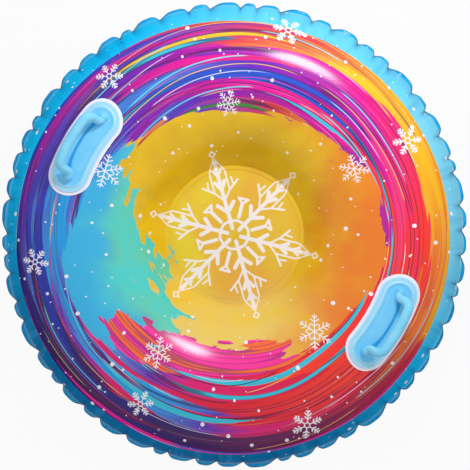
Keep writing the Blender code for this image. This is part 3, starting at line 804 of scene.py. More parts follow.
def painted_bowl(finish, film, colours):
    """The bowl: gold, warmer to one side, with painted light towards its lower wall, a wash, a splash and
    brush strokes.
    """
    cloud = finish.noise(film.at_level(5.0), 9.0, 3.0)
    # Painted light: paler yellow towards the bowl's lower wall, which faces the lamp, broken up by a random
    # cloudy tone
    painted_light_and_cloud = film.facing(292) + cloud.swing(1.5)
    warmth = film.facing(24) * 0.9 + (film.radius - 0.22) * 5.0 + cloud.swing(1.2)
    middle = finish.paint("E4BC34", (film.facing(205).rise(-0.2, 0.9) * 0.7, "ECD62C"),
                          (cloud.rise(0.46, 0.62) * 0.6, "E8A440"))
    gold = finish.paint(colours.gold, (cloud.rise(0.25, 0.75), "D8AC18"),
                        (painted_light_and_cloud.rise(0.2, 1.1) * 0.5, "F6E08C"), (warmth.rise(0.35, 1.35) * 0.85, "EC6E24"))
    wash = finish.paint(colours.wash, (cloud.rise(0.42, 0.66), "6CCFA4"),
                        ((film.radius + cloud.swing(0.2)).rise(0.26, 0.34), "39B4E6"))
    picked, _, _, edge = film.strokes(0.8, 120.0, 61.0, 0.4)
    streaked = finish.paint(colours.stroke, (picked.rise(0.62, 0.63), "FC6C34"),
                            (edge.rise(0.12, 0.07) * 0.55, "6A1C78"))

    # The brushed coats reach in from the bowl's rim, each at its own side and with a ragged edge
    rough = film.streaks(3.4, 46.0, 131.0, 4.0).swing(0.9) + cloud.swing(0.7)
    bristles = film.streaks(2.4, 260.0, 139.0, 4.0).swing(0.20)
    washed = film.facing(227) + rough + bristles + (film.radius - 0.29) * 3.0
    stroked = film.facing(296) + rough * 1.1 + bristles + (film.radius - 0.28).lowest(0.036) * 5.0
    splashed = film.facing(76) + rough * 1.2 + bristles + (film.radius - 0.30) * 7.0
    return finish.paint(middle, (film.radius.rise(0.10, 0.17), gold), (washed.rise(0.63, 0.65), wash),
                        (stroked.rise(0.84, 0.86), streaked),
                        (splashed.rise(1.00, 1.02), finish.mix(cloud.rise(0.4, 0.6), "7A1C9C", "B41C98")))


def plain_border(finish, film, colours):
    """The border beside the seam: painted light, paler on the side towards the lamp; painted shade, deeper on
    the side away from it; painted shade in the folds, painted shade and highlight along the pleats, and a
    random cloudy tone.
    """
    cloud = finish.noise(film.at_level(9.0), 16.0, 3.0)
    pleats = finish.noise(film.drawn_out(26.0, 5.0))
    # Painted light: paler towards the lamp's side. Painted shade: deeper on the side away from the lamp.
    return finish.paint(colours.border, (film.facing(75).rise(0.25, 1.0) * 0.9, "6CCAEA"),
                        (film.facing(35).rise(0.75, 1.0) * 0.5, "98E6FC"),
                        (film.facing(280).rise(0.0, 0.9), colours.border_painted_shade),
                        (cloud.rise(0.4, 0.8) * 0.15, "0A86C8"),
                        # Painted shade and painted highlight: darker and paler streaks along the pleats
                        (pleats.rise(0.50, 0.72) * 0.20, "0070B4"),
                        (pleats.rise(0.46, 0.28) * 0.12, "5CE0FF"),
                        # Painted shade in the folds
                        (finish.attribute("fold") * 0.75, "003E78"))


def printed_colour(finish, film, colours, tube):
    """The whole print: bands round the tube, a brushed bowl, a border, flakes and dots."""
    further = (film.facing(32) ** 4 * 0.056 + film.facing(292).highest(0.0) ** 2 * 0.030
               + film.facing(238).highest(0.0) ** 6 * 0.040)
    ragged = film.radius + film.streaks(1.5, 90.0, 151.0, 4.0).swing(0.05) - further
    start = tube.film_radius(tube.seam_travel) - colours.border_width
    off_centre = film.radius - film.facing(275) * 0.010
    white = dots(film, 0.058, 0.0018, 0.0048, 0.55, 0.013)
    white = white.highest(dots(film, 0.043, 0.0009, 0.0019, 0.55, 0.371)) * film.radius.rise(0.15, 0.17)
    white = white.highest(flake_ring(film, SMALL_FLAKE, 7, 0.425, 0.070, colours.flake_size, 0.37))
    white = white.highest(flake_ring(film, FERN_FLAKE, 5, 0.300, 0.050, colours.flake_size * 1.1, 0.81))
    star = flake(film.x / colours.star_size, film.y / colours.star_size, STAR_TURN, LARGE_STAR, 0.0015)
    return finish.paint(painted_bowl(finish, film, colours),
                        (ragged.rise(BAND_START, BAND_START + BAND_EDGE), painted_bands(finish, film)),
                        (off_centre.rise(start, start + BAND_EDGE / 2), plain_border(finish, film, colours)),
                        (white * 0.95, colours.flake), (star * 0.86, colours.flake))


def add_creases(finish, film, tube):
    """Fine creases across the seam and the seat weld, and a slight grain."""
    seam_film = tube.film_radius(tube.seam_travel)
    near_seam = film.radius.rise(seam_film - 0.075, seam_film)
    near_seat = 1 - film.radius.rise(0.145, 0.185)
    creases = finish.noise(film.drawn_out(60.0, 7.0)) * (near_seam * 0.9 + near_seat * 0.35)
    grain = finish.noise(film.at_level(0.0), 420.0, 1.0)
    slack = finish.noise(film.at_level(2.0), 14.0)
    finish.bump(creases + grain * 0.02 + slack * 0.35, 0.0016, 0.8)


def top_vinyl(scene):
    """The printed vinyl of the top skin and of the seat floor."""
    tube = Tube(scene.tube_sizes)
    finish = Finish("printed_vinyl", "F2BE1E", 0.4)
    film = FilmPlace(finish)
    finish.set("Coat Roughness", 0.17)
    finish.set("Base Color", printed_colour(finish, film, scene.print_colours, tube))
    finish.set("Roughness", 0.35 + 0.10 * film.streaks(3.0, 40.0, 7.0, 2.0))
    coat = 0.60 - 0.56 * film.radius.rise(0.43, 0.49) + 0.36 * film.radius.rise(0.51, 0.545)
    finish.set("Coat Weight", coat)
    add_creases(finish, film, tube)
    return finish.material


def underside_vinyl(scene):
    """Plain coloured film, slightly cloudy, with the same creases as the printed one."""
    finish = Finish("underside_vinyl", "1C86D6", 0.30, 0.4)
    film = FilmPlace(finish)
    cloud = finish.noise(film.at_level(3.0), 12.0, 3.0)
    finish.set("Base Color", finish.mix(cloud.rise(0.3, 0.7), "1C86D6", "2492E0"))
    finish.set("Roughness", 0.26 + 0.10 * cloud)
    add_creases(finish, film, Tube(scene.tube_sizes))
    return finish.material


def seam_vinyl(scene):
    """The welded margin: blue film on itself, with painted shade at its cut edge and in its folds, and with
    the weld's ribs.
    """
    tube = Tube(scene.tube_sizes)
    finish = Finish("margin_vinyl", "0A93E0", 0.28, 0.15)
    film = FilmPlace(finish)
    seam_film = tube.film_radius(tube.seam_travel)
    cloud = finish.noise(film.at_level(1.0), 26.0, 3.0)
    fold = finish.attribute("fold")
    # Painted shade: darker along the cut edge and in the folds
    dark = (finish.attribute("cut_edge").rise(0.45, 0.80) * (0.50 + 0.50 * fold)).highest(fold * 0.6)
    blue = finish.mix(cloud.rise(0.3, 0.7), "0AA2E2", "22BAF2")
    finish.set("Base Color", finish.mix(dark, blue, "083E66"))
    beside_weld = film.radius.rise(seam_film + 0.005, seam_film + 0.002)
    ribs = (film.turn * (math.tau * 1500)).math("SINE") * beside_weld
    finish.bump(ribs * 0.1 + cloud, 0.0010)
    return finish.material


def moulded_vinyl(name, code, other, roughness):
    """Soft moulded vinyl: even colour, cloudy depth and a fine satin grain."""
    finish = Finish(name, code, roughness, 0.15)
    place = finish.node("ShaderNodeTexCoord", output="Object")
    cloud = finish.noise(place, 34.0, 3.0)
    finish.set("Base Color", finish.mix(cloud.rise(0.3, 0.7), code, other))
    finish.set("Roughness", roughness - 0.05 + 0.14 * cloud)
    finish.bump(cloud * 0.7 + finish.noise(place, 1040.0, 1.0) * 0.06, 0.0008)
    return finish.material


def pad_vinyl(colours):
    """The pad's vinyl, paler where it is thin over the white patch and along its moulded edges, with a
    painted shadow beside the bar.
    """
    finish = Finish("pad_vinyl", colours.pad_colour, 0.36, 0.2)
    place = finish.node("ShaderNodeTexCoord", output="Object")
    cloud = finish.noise(place, 30.0, 3.0)
    finish.set("Base Color", finish.paint(colours.pad_colour, (cloud.rise(0.3, 0.7), "86D8FF"),
                                          # Painted shadow beside the bar
                                          (finish.attribute("recess").rise(0.0, 0.55) * 0.85, "149CE0"),
                                          (finish.attribute("thin").rise(0.1, 0.9), colours.rim_colour)))
    finish.set("Roughness", 0.30 + 0.14 * cloud)
    finish.bump(cloud * 0.6 + finish.noise(place, 900.0, 1.0) * 0.08, 0.0008)
    return finish.material


# Pieces

def add_object(name, data):
    """Add an object with its data to the scene."""
    made = bpy.data.objects.new(name, data)
    bpy.context.scene.collection.objects.link(made)
    return made


def make_object(bm, name, materials):
    """Turn a finished bmesh into an object."""
    mesh = bpy.data.meshes.new(name)
    bm.to_mesh(mesh)
    bm.free()
    for material in materials:
        mesh.materials.append(material)
    return add_object(name, mesh)


def make_piece(bm, name, body, slot, stands_for, materials, sharp=40):
    """Turn a finished bmesh into a piece that rides on its body and stands for CAD nodes."""
    made = make_object(bm, name, materials)
    made.data.shade_smooth()
    made.data.set_sharp_from_angle(angle=math.radians(sharp))
    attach(made, body)
    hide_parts(*stands_for)


def face_out(bm):
    """Turn the faces outwards."""
    bmesh.ops.recalc_face_normals(bm, faces=bm.faces)


def close_up(bm):
    """Merge points that lie on each other, and turn the faces outwards."""
    bmesh.ops.remove_doubles(bm, verts=bm.verts, dist=MERGE_DISTANCE)
    face_out(bm)


def spin_ring(points, segments, values, closed=True, sectors=1):
    """Spin a section round Z. Each point carries its own numbers, named in values, all the way round.
    A ring of many segments is spun as one sector, which is then repeated."""
    bm = bmesh.new()
    layers = {name: bm.verts.layers.float.new(name) for name in values}
    ring = []
    for index, point in enumerate(points):
        vert = bm.verts.new(point)
        for name, layer in layers.items():
            vert[layer] = values[name][index]
        ring.append(vert)
    following = ring[1:] + ring[:1] if closed else ring[1:]
    edges = [bm.edges.new(pair) for pair in zip(ring, following)]
    sector = math.tau / sectors
    bmesh.ops.spin(bm, geom=ring + edges, cent=(0, 0, 0), axis=(0, 0, 1), dvec=(0, 0, 0), angle=sector,
                   steps=segments // sectors, use_merge=sectors == 1, use_duplicate=False)
    if sectors > 1:
        made = bm.verts[:] + bm.edges[:] + bm.faces[:]
        bmesh.ops.spin(bm, geom=made, cent=(0, 0, 0), axis=(0, 0, 1), dvec=(0, 0, 0), angle=math.tau - sector,
                       steps=sectors - 1, use_merge=False, use_duplicate=True)
    close_up(bm)
    return bm


def next_loop(bm, edges):
    """Draw a loop of edges out into a new one, and give the new one's points and edges."""
    made = bmesh.ops.extrude_edge_only(bm, edges=edges)["geom"]
    loop = [item for item in made if isinstance(item, bmesh.types.BMVert)]
    fresh = set(loop)
    return loop, [item for item in made if isinstance(item, bmesh.types.BMEdge) and set(item.verts) <= fresh]


def note_shape(bm):
    """Note where each point of a first loop lies, for the loops drawn out of it."""
    shape = bm.verts.layers.float_vector.new("shape")
    for vert in bm.verts:
        vert[shape] = vert.co
    return shape


def fill_ends(bm, *ends):
    """Close the open ends of a swept shape."""
    for edges in ends:
        bmesh.ops.edgeloop_fill(bm, edges=edges)
    face_out(bm)


def join(bm, other):
    """Add another bmesh's shape to a bmesh, and free it."""
    mesh = bpy.data.meshes.new("joined")
    other.to_mesh(mesh)
    other.free()
    bm.from_mesh(mesh)
    bpy.data.meshes.remove(mesh)


def round_edges(bm, size):
    """Round a shell's hard edges."""
    hard = [edge for edge in bm.edges if len(edge.link_faces) == 2 and edge.calc_face_angle() > HARD_ANGLE]
    bmesh.ops.bevel(bm, geom=hard, offset=size, offset_type="OFFSET", affect="EDGES", segments=3,
                    profile=0.5, material=-1, clamp_overlap=True)


def spread(start, end, number):
    """Evenly spaced numbers from start up to, but not with, end."""
    return [start + (end - start) * step / number for step in range(number)]


def film_point(tube, travel, angle):
    """Where a point of the tube lies in the flat film."""
    reach = tube.film_radius(travel)
    return reach * math.cos(angle), reach * math.sin(angle), 0.0


def build_skin(tube, side, thickness, name, slot, stands_for, material, valve=None):
    """One skin: a thin shell spun round the tube and gathered at the seam, with a hole for a valve."""
    sizes = tube.sizes
    seat = tube.seat_travel
    seam = tube.seam_travel
    margin = seat - sizes.seat_margin
    bend_end = seat + BEND_REACH
    gather_start = tube.pucker_start - GATHER_LEAD
    outside = spread(margin, seat, 3) + spread(seat, bend_end, 6) + spread(bend_end, gather_start, 36)
    outside += spread(gather_start, seam, 26) + [seam]
    inside = spread(tube.pucker_start, seat, 10)
    if valve:
        inside += spread(valve.travel - valve.flange_radius, valve.travel + valve.flange_radius, 10)
    inside = [seam] + sorted(inside, reverse=True) + [seat, margin]
    travels = outside + inside
    lifts = [0.0] * len(outside) + [-thickness] * len(inside)
    points = [tube.point(side, 0.0, travel, lift) for travel, lift in zip(travels, lifts)]
    bm = spin_ring(points, tube.columns, {"travel": travels, "lift": lifts}, sectors=sizes.lobes)
    travel_of = bm.verts.layers.float["travel"]
    lift_of = bm.verts.layers.float["lift"]
    film_of = bm.verts.layers.float_vector.new("film")
    fold_shade_of = bm.verts.layers.float.new("fold")
    for vert in bm.verts:
        column = tube.column_at(vert.co)
        travel = vert[travel_of]
        angle = tube.angle_at(column, travel)
        from_seam = (seam - travel) / sizes.reach
        near = max(0.0, 1 - from_seam)
        vert.co = tube.point(side, angle, travel, vert[lift_of] + tube.gather(column, travel))
        if near > AT_SEAM:
            vert.co.z = sizes.seam_height + side * sizes.seam_thickness / 2
        vert.co.z += tube.dip(column) * near ** 5
        # The fold attribute marks painted shade in the folds, fading inwards from the seam
        shaded = min(1.0, 2 * max(0.0, 1 - from_seam / FOLD_REACH))
        vert[fold_shade_of] = tube.lobe_shape(column)[1] ** 2 * shaded
        vert[film_of] = film_point(tube, travel, angle)
    if valve:
        cut_hole(bm, tube, valve, thickness)
    make_piece(bm, name, "tube", slot, stands_for, [material], 50)


def cut_hole(bm, tube, valve, thickness):
    """Cut the valve's round hole through a skin, under the valve's flange."""
    travel_of = bm.verts.layers.float["travel"]
    lift_of = bm.verts.layers.float["lift"]
    film_of = bm.verts.layers.float_vector["film"]
    radius = valve.stem_radius + valve.clearance
    cleared = radius * 1.5
    turn_radius = tube.section(valve.travel)[0]
    cut = []
    for face in bm.faces:
        middle = face.calc_center_median()
        along = sum(vert[travel_of] for vert in face.verts) / len(face.verts) - valve.travel
        aside = (math.atan2(middle.y, middle.x) - VALVE_ANGLE) * turn_radius
        if math.hypot(along, aside) < cleared:
            cut.append(face)
    bmesh.ops.delete(bm, geom=cut, context="FACES")
    circles = []
    for lift in (0.0, -thickness):
        border = [edge for edge in bm.edges if edge.is_boundary
                  and abs(edge.verts[0][lift_of] - lift) < thickness / 2 and edge not in circles]
        circle = bmesh.ops.create_circle(bm, cap_ends=False, segments=VALVE_SEGMENTS, radius=radius)["verts"]
        for vert in circle:
            travel = valve.travel + vert.co.x
            angle = VALVE_ANGLE + vert.co.y / turn_radius
            vert[lift_of] = lift
            vert.co = tube.point(BOTTOM, angle, travel, lift)
            vert[film_of] = film_point(tube, travel, angle)
        edges = list({edge for vert in circle for edge in vert.link_edges})
        bmesh.ops.bridge_loops(bm, edges=border + edges)
        circles += edges
    bmesh.ops.bridge_loops(bm, edges=circles)
    face_out(bm)


class SNOWTUBE_OT_top_skin(bpy.types.Operator):
    """Build the printed top skin."""

    bl_idname = "snowtube.top_skin"
    bl_label = "Top Skin"

    def execute(self, context):
        tube = Tube(context.scene.tube_sizes)
        material = top_vinyl(context.scene)
        build_skin(tube, TOP, tube.sizes.top_thickness, "printed_skin", "top_print", ["top_skin"], material)
        return {"FINISHED"}


class SNOWTUBE_OT_bottom_skin(bpy.types.Operator):
    """Build the plain bottom skin, with its hole for the valve."""

    bl_idname = "snowtube.bottom_skin"
    bl_label = "Bottom Skin"

    def execute(self, context):
        tube = Tube(context.scene.tube_sizes)
        material = underside_vinyl(context.scene)
        build_skin(tube, BOTTOM, tube.sizes.bottom_thickness, "plain_skin", "bottom_vinyl", ["bottom_skin"],
                   material, context.scene.valve_sizes)
        return {"FINISHED"}


class SNOWTUBE_OT_seat_floor(bpy.types.Operator):
    """Build the double-layer disc in the middle, with the groove of its weld."""

    bl_idname = "snowtube.seat_floor"
    bl_label = "Seat Floor"

    def execute(self, context):
        sizes = context.scene.tube_sizes
        top = sizes.floor_thickness / 2
        bed = top - sizes.groove_depth
        outer = sizes.seat_radius - sizes.seat_margin - GROOVE_GAP
        inner = outer - sizes.groove_width
        slope = sizes.groove_width * 0.2
        section = [(radius, top) for radius in spread(0.0, inner, 16)]
        section += [(inner, top), (inner + slope, bed), (outer - slope, bed), (outer, top)]
        section += [(sizes.seat_radius, top), (sizes.seat_radius, -top), (outer, -top)]
        section += [(outer / 2, -top), (0.0, -top)]
        points = [(radius, 0.0, sizes.seam_height + lift) for radius, lift in section]
        bm = spin_ring(points, SEAT_SEGMENTS, {}, closed=False)
        film_of = bm.verts.layers.float_vector.new("film")
        for vert in bm.verts:
            vert[film_of] = (vert.co.x, vert.co.y, 0.0)
        for face in bm.faces:
            face.material_index = 0 if face.calc_center_median().z > sizes.seam_height else 1
        printed = bpy.data.materials.get("printed_vinyl") or top_vinyl(context.scene)
        plain = bpy.data.materials.get("underside_vinyl") or underside_vinyl(context.scene)
        make_piece(bm, "seat_disc", "tube", "floor_vinyl", ["seat_floor"], [printed, plain], 35)
        return {"FINISHED"}


class SNOWTUBE_OT_seam(bpy.types.Operator):
    """Build the ruffled margin outside the outer weld."""

    bl_idname = "snowtube.seam"
    bl_label = "Seam"

    def execute(self, context):
        tube = Tube(context.scene.tube_sizes)
        sizes = tube.sizes
        inner = sizes.seam_radius - sizes.seam_tuck
        stations = [(share, sizes.seam_thickness / 2 * full) for share, full in MARGIN_SHARES]
        stations += [(share, -height) for share, height in reversed(stations)]
        points = [(inner + share * sizes.seam_tuck * 2, 0.0, sizes.seam_height + height)
                  for share, height in stations]
        values = {"share": [share for share, _ in stations], "height": [height for _, height in stations],
                  "cut_edge": [max(0.0, (share - 0.80) / 0.20) for share, _ in stations]}
        bm = spin_ring(points, tube.columns, values, sectors=sizes.lobes)
        share_of = bm.verts.layers.float["share"]
        height_of = bm.verts.layers.float["height"]
        film_of = bm.verts.layers.float_vector.new("film")
        fold_shade_of = bm.verts.layers.float.new("fold")
        for vert in bm.verts:
            column = tube.column_at(vert.co)
            angle = tube.angle_at(column, tube.seam_travel)
            radius = inner + vert[share_of] * (tube.margin_reach(column) - inner)
            beyond = radius - sizes.seam_radius
            drop = tube.dip(column) * (1 + 0.9 * max(0.0, beyond / sizes.seam_overhang))
            vert.co = (radius * math.cos(angle), radius * math.sin(angle),
                       sizes.seam_height + vert[height_of] + drop)
            # The fold attribute marks painted shade in the margin's folds
            vert[fold_shade_of] = tube.lobe_shape(column)[1]
            vert[film_of] = film_point(tube, tube.seam_travel + beyond, angle)
        material = seam_vinyl(context.scene)
        make_piece(bm, "ruffled_margin", "tube", "seam_vinyl", ["outer_seam"], [material], 50)
        return {"FINISHED"}


# Handles

class HandlePlace:
    """Where a handle lies on the tube: its angle, its travel and its hinge line."""

    def __init__(self, scene, angle):
        self.tube = Tube(scene.tube_sizes)
        self.sizes = scene.handle_sizes
        self.clearance = scene.valve_sizes.clearance
        self.angle = angle
        self.radius = self.tube.crest + self.sizes.outset
        self.travel = self.tube.travel_to(self.radius)
        self.pad_base = self.clearance * 2 + self.sizes.patch_thickness
        self.flange_lift = self.pad_base + self.sizes.flange_thickness
        self.rim_lift = self.flange_lift + self.sizes.pad_step
        self.dish_lift = self.rim_lift - self.sizes.dish_depth
        foot_place = self.sizes.grip_span / 2 + self.clearance + self.sizes.foot_length / 2
        self.axis_radius = self.radius * math.cos(foot_place / self.radius)
        self.axis_lift = self.dish_lift + self.clearance + self.sizes.foot_radius
        _, height, slope = self.tube.section(self.travel)
        self.axis_height = (self.tube.sizes.seam_height + self.tube.sizes.skin_base + height
                            + self.axis_lift * math.cos(slope))

    def lay(self, bm):
        """Lay a piece modelled flat, along X and across Y, on the crest."""
        for vert in bm.verts:
            along, across, lift = vert.co
            vert.co = self.tube.point(TOP, self.angle + along / self.radius, self.travel + across, lift)
        face_out(bm)

    def stand(self, bm, along=0.0):
        """Stand a piece modelled at the hinge line's middle on this handle's side."""
        bmesh.ops.translate(bm, verts=bm.verts, vec=(self.axis_radius, along, self.axis_height))
        bmesh.ops.rotate(bm, verts=bm.verts, cent=(0, 0, 0), matrix=Matrix.Rotation(self.angle, 3, "Z"))


def stadium(bm, run):
    """A flat loop with half-round ends, one unit in half width. Its points note the place on its
    middle line that they belong to, and their direction from there."""
    arcs = []
    for end in (1, -1):
        first = bm.verts.new((end * run, -end, 0.0))
        made = bmesh.ops.spin(bm, geom=[first], cent=(end * run, 0, 0), axis=(0, 0, 1), dvec=(0, 0, 0),
                              angle=math.pi, steps=PAD_ARC_STEPS, use_merge=False, use_duplicate=False)
        last = [item for item in made["geom_last"] if isinstance(item, bmesh.types.BMVert)][0]
        arcs.append((first, last))
    sides = [bm.edges.new((arcs[0][1], arcs[1][0])), bm.edges.new((arcs[1][1], arcs[0][0]))]
    bmesh.ops.subdivide_edges(bm, edges=sides, cuts=PAD_SIDE_CUTS)
    origin = bm.verts.layers.float_vector.new("origin")
    for vert in bm.verts:
        middle = max(-run, min(run, vert.co.x))
        vert[origin] = (middle, vert.co.x - middle, vert.co.y)
    return origin


def stadium_shell(run, sections):
    """A closed shell from stadium-shaped loops: sections are (half width, lift, thin) places, from the
    middle of its underside to the middle of its top."""
    bm = bmesh.new()
    thin = bm.verts.layers.float.new("thin")
    origin = stadium(bm, run)
    loop = bm.verts[:]
    edges = bm.edges[:]
    for index, (half_width, lift, thinness) in enumerate(sections):
        if index:
            loop, edges = next_loop(bm, edges)
        for vert in loop:
            middle, along, across = vert[origin]
            vert.co = (middle + along * half_width, across * half_width, lift)
            vert[thin] = thinness
    close_up(bm)
    return bm


def note_bar_shadow(bm, place):
    """Note where the pad takes a painted shadow beside the bar, a darker blue strip where the bar's shade
    falls. The strip bends round to the feet and widens there."""
    recess = bm.verts.layers.float.new("recess")
    sizes = place.sizes
    reach = sizes.grip_span / 2 - BAR_SHADOW_END
    for vert in bm.verts:
        end = min(1.0, abs(vert.co.x) / reach)
        middle = BAR_SHADOW_OUT - BAR_SHADOW_BEND * end ** 3
        width = BAR_SHADOW_WIDTH + BAR_SHADOW_FLARE * end ** 4
        inside = max(0.0, 1 - abs(vert.co.y - middle) / width)
        above = vert.co.z > place.pad_base + sizes.flange_thickness / 4
        vert[recess] = inside * min(1.0, 8 * (1 - end)) if above else 0.0


def build_patch(place, side, sheet):
    """The white sheet under a pad."""
    sizes = place.sizes
    half = sizes.patch_width / 2
    low = place.clearance
    high = low + sizes.patch_thickness
    section = [(0.0, low), (half / 2, low), (half, low), (half, high), (half / 2, high), (0.0, high)]
    run = (sizes.patch_length - sizes.patch_width) / 2
    patch = stadium_shell(run, [(width, lift, 0.0) for width, lift in section])
    place.lay(patch)
    make_piece(patch, side + "_patch_sheet", "tube", "patch_vinyl", [side + "_handle_patch"], [sheet])


def build_pad(place, side, moulded):
    """A moulded pad, with a flat flange, a raised rim, a dish inside it and two feet."""
    sizes = place.sizes
    outer = sizes.patch_width / 2 - sizes.patch_margin
    step = outer - sizes.flange_width
    rim = step - STEP_SLOPE
    inner = rim - sizes.rim_width
    dish = inner - DISH_SLOPE
    base = place.pad_base
    flange = place.flange_lift
    top = place.rim_lift
    section = [(0.0, base, 0.0), (outer / 2, base, 0.0), (outer, base, 0.6), (outer, flange, 0.9)]
    section += [(outer - FLANGE_EDGE, flange, 0.55), (step + STEP_EDGE, flange, 0.45)]
    section += [(step, flange, 0.9), (rim, top, 0.85), (rim - RIM_EDGE, top, 0.35), (inner, top, 0.20)]
    section += [(dish, place.dish_lift, 0.0)]
    section += [(dish * ring / 12, place.dish_lift, 0.0) for ring in range(11, -1, -1)]
    pad = stadium_shell((sizes.patch_length - sizes.patch_width) / 2, section)
    round_edges(pad, PAD_ROUNDING)
    note_bar_shadow(pad, place)
    place.lay(pad)
    for end in (1, -1):
        join(pad, make_foot(place, end))
    make_piece(pad, side + "_pad_moulding", "tube", "pad_vinyl", [side + "_handle_pad"], [moulded])


def make_foot(place, end):
    """A foot: round about the hinge line above, flared below, and domed at its far side."""
    sizes = place.sizes
    base = place.dish_lift - place.axis_lift - FOOT_SINK
    bm = bmesh.new()
    bmesh.ops.create_circle(bm, cap_ends=False, segments=FOOT_SEGMENTS, radius=sizes.foot_radius)
    for vert in bm.verts:
        width, level, _ = vert.co
        below = max(0.0, -level / sizes.foot_radius)
        if below > 0.0:
            level = base * below
            flare = sizes.foot_radius * (1 + FOOT_FLARE * below ** 4)
            width = 0.0 if abs(width) < MERGE_DISTANCE else math.copysign(flare, width)
        vert.co = (width, 0.0, level)
    shape = note_shape(bm)
    first = bm.edges[:]
    edges = first
    for turn in [DOME_TURN * step / 7 for step in range(1, 8)]:
        loop, edges = next_loop(bm, edges)
        size = math.cos(turn) ** DOME_FULLNESS
        out = end * sizes.foot_length * DOME_REACH * math.sin(turn)
        for vert in loop:
            width, _, level = vert[shape]
            vert.co = (width * size, out, base + (level - base) * size)
    fill_ends(bm, first, edges)
    place.stand(bm, end * (sizes.grip_span / 2 + place.clearance))
    return bm


class SNOWTUBE_OT_handle_pads(bpy.types.Operator):
    """Build the white patches and the moulded pads with their feet."""

    bl_idname = "snowtube.handle_pads"
    bl_label = "Handle Pads"

    def execute(self, context):
        sheet = moulded_vinyl("patch_vinyl", "F0EEFC", "F8F6FF", 0.32)
        moulded = pad_vinyl(context.scene.handle_sizes)
        for side, angle in SIDES:
            place = HandlePlace(context.scene, angle)
            build_patch(place, side, sheet)
            build_pad(place, side, moulded)
        return {"FINISHED"}


def grip_line(sizes):
    """A grip's centre line from foot to foot: (along, rise) places."""
    low = sizes.foot_bend
    high = sizes.top_bend
    start = sizes.grip_span / 2 - GRIP_END
    middle = start - low - high
    turns = [math.pi / 2 * step / 12 for step in range(13)]
    half = [(sizes.grip_span / 2, 0.0)]
    half += [(start - low * math.sin(turn), low - low * math.cos(turn)) for turn in turns]
    bend_rise = sizes.grip_rise - high
    half += [(middle + high * math.cos(turn), bend_rise + high * math.sin(turn)) for turn in turns]
    half += [(middle * (1 - step / 14), sizes.grip_rise) for step in range(1, 14)]
    return half + [(0.0, sizes.grip_rise)] + [(-along, rise) for along, rise in reversed(half)]


class SNOWTUBE_OT_grips(bpy.types.Operator):
    """Build the two soft grips, which lean over outwards."""

    bl_idname = "snowtube.grips"
    bl_label = "Grips"

    def execute(self, context):
        sizes = context.scene.handle_sizes
        material = moulded_vinyl("grip_vinyl", "80D8FF", "90E0FF", 0.34)
        for side, angle in SIDES:
            place = HandlePlace(context.scene, angle)
            centres = []
            radii = []
            for along, rise in grip_line(sizes):
                share = rise / sizes.grip_rise
                bow = math.cos(along / place.radius) - math.cos(sizes.grip_span / 2 / place.radius)
                out = rise * math.sin(sizes.grip_lean) + place.radius * bow * share
                centres.append(Vector((out, along, rise * math.cos(sizes.grip_lean))))
                full = 1 + 0.05 * math.cos(math.pi * along / sizes.grip_span)
                radii.append((sizes.foot_radius + (sizes.grip_radius - sizes.foot_radius) * share) * full)
            bm = sweep(centres, radii)
            place.stand(bm)
            make_piece(bm, side + "_grip_bar", side + "_grip", "grip_vinyl", [side + "_grip"], [material], 60)
        return {"FINISHED"}


def sweep(centres, radii):
    """A closed round bar along a line of centres, with a radius at each."""
    bm = bmesh.new()
    bmesh.ops.create_circle(bm, cap_ends=False, segments=BAR_SEGMENTS, radius=1.0)
    shape = note_shape(bm)
    loop = bm.verts[:]
    edges = bm.edges[:]
    first = edges
    for index, (centre, radius) in enumerate(zip(centres, radii)):
        if index:
            loop, edges = next_loop(bm, edges)
        before = centres[max(0, index - 1)]
        after = centres[min(len(centres) - 1, index + 1)]
        ahead = (after - before).normalized()
        across = Vector((1, 0, 0)) - ahead * ahead.x
        across.normalize()
        up = ahead.cross(across)
        for vert in loop:
            x, y, _ = vert[shape]
            vert.co = centre + (across * x + up * y) * radius
    fill_ends(bm, first, edges)
    return bm


# Valve

class ValvePlace:
    """The valve's own frame on the bottom skin: +Z out of the skin, +X up the skin to the seam."""

    def __init__(self, scene):
        self.tube = Tube(scene.tube_sizes)
        self.sizes = scene.valve_sizes
        gap = self.sizes.clearance
        thickness = self.sizes.flange_thickness
        centre, above = (self.point(0.0, 0.0, lift) for lift in (0.0, thickness))
        out = (above - centre).normalized()
        up = Vector((-math.sin(VALVE_ANGLE), math.cos(VALVE_ANGLE), 0)).cross(out).normalized()
        if up.z < 0:
            up.negate()
        self.matrix = Matrix((up, out.cross(up), out)).transposed().to_4x4()
        self.matrix.translation = centre
        self.collar_bottom = gap + thickness + gap
        self.collar_top = self.collar_bottom + self.sizes.collar_thickness
        self.plug_bottom = self.collar_top + gap
        self.stem_bottom = self.collar_top - self.sizes.stem_length
        self.hinge_lift = self.plug_bottom + self.sizes.strap_thickness / 2

    def point(self, x, y, lift):
        """A point over the curved skin, from its place in the valve's frame."""
        turn_radius = self.tube.section(self.sizes.travel)[0]
        return self.tube.point(BOTTOM, VALVE_ANGLE + y / turn_radius, self.sizes.travel + x,
                               lift + SKIN_GAP)

    def stand(self, bm):
        """Stand a piece modelled in the valve's frame on the tube."""
        bmesh.ops.transform(bm, matrix=self.matrix, verts=bm.verts)
        face_out(bm)

    def lay(self, bm):
        """Lay a flat piece, modelled in the valve's frame, on the curved skin."""
        for vert in bm.verts:
            vert.co = self.point(*vert.co)
        face_out(bm)


def turned(profile, closed):
    """A turned shape from (radius, height) points."""
    return spin_ring([(radius, 0.0, height) for radius, height in profile], VALVE_SEGMENTS, {}, closed)


def bar(low, high, rounding):
    """A block between two corners, with rounded edges."""
    bm = bmesh.new()
    bmesh.ops.create_cube(bm, size=1.0)
    bmesh.ops.scale(bm, verts=bm.verts, vec=[upper - lower for lower, upper in zip(low, high)])
    bmesh.ops.translate(bm, verts=bm.verts, vec=[(lower + upper) / 2 for lower, upper in zip(low, high)])
    round_edges(bm, rounding)
    return bm


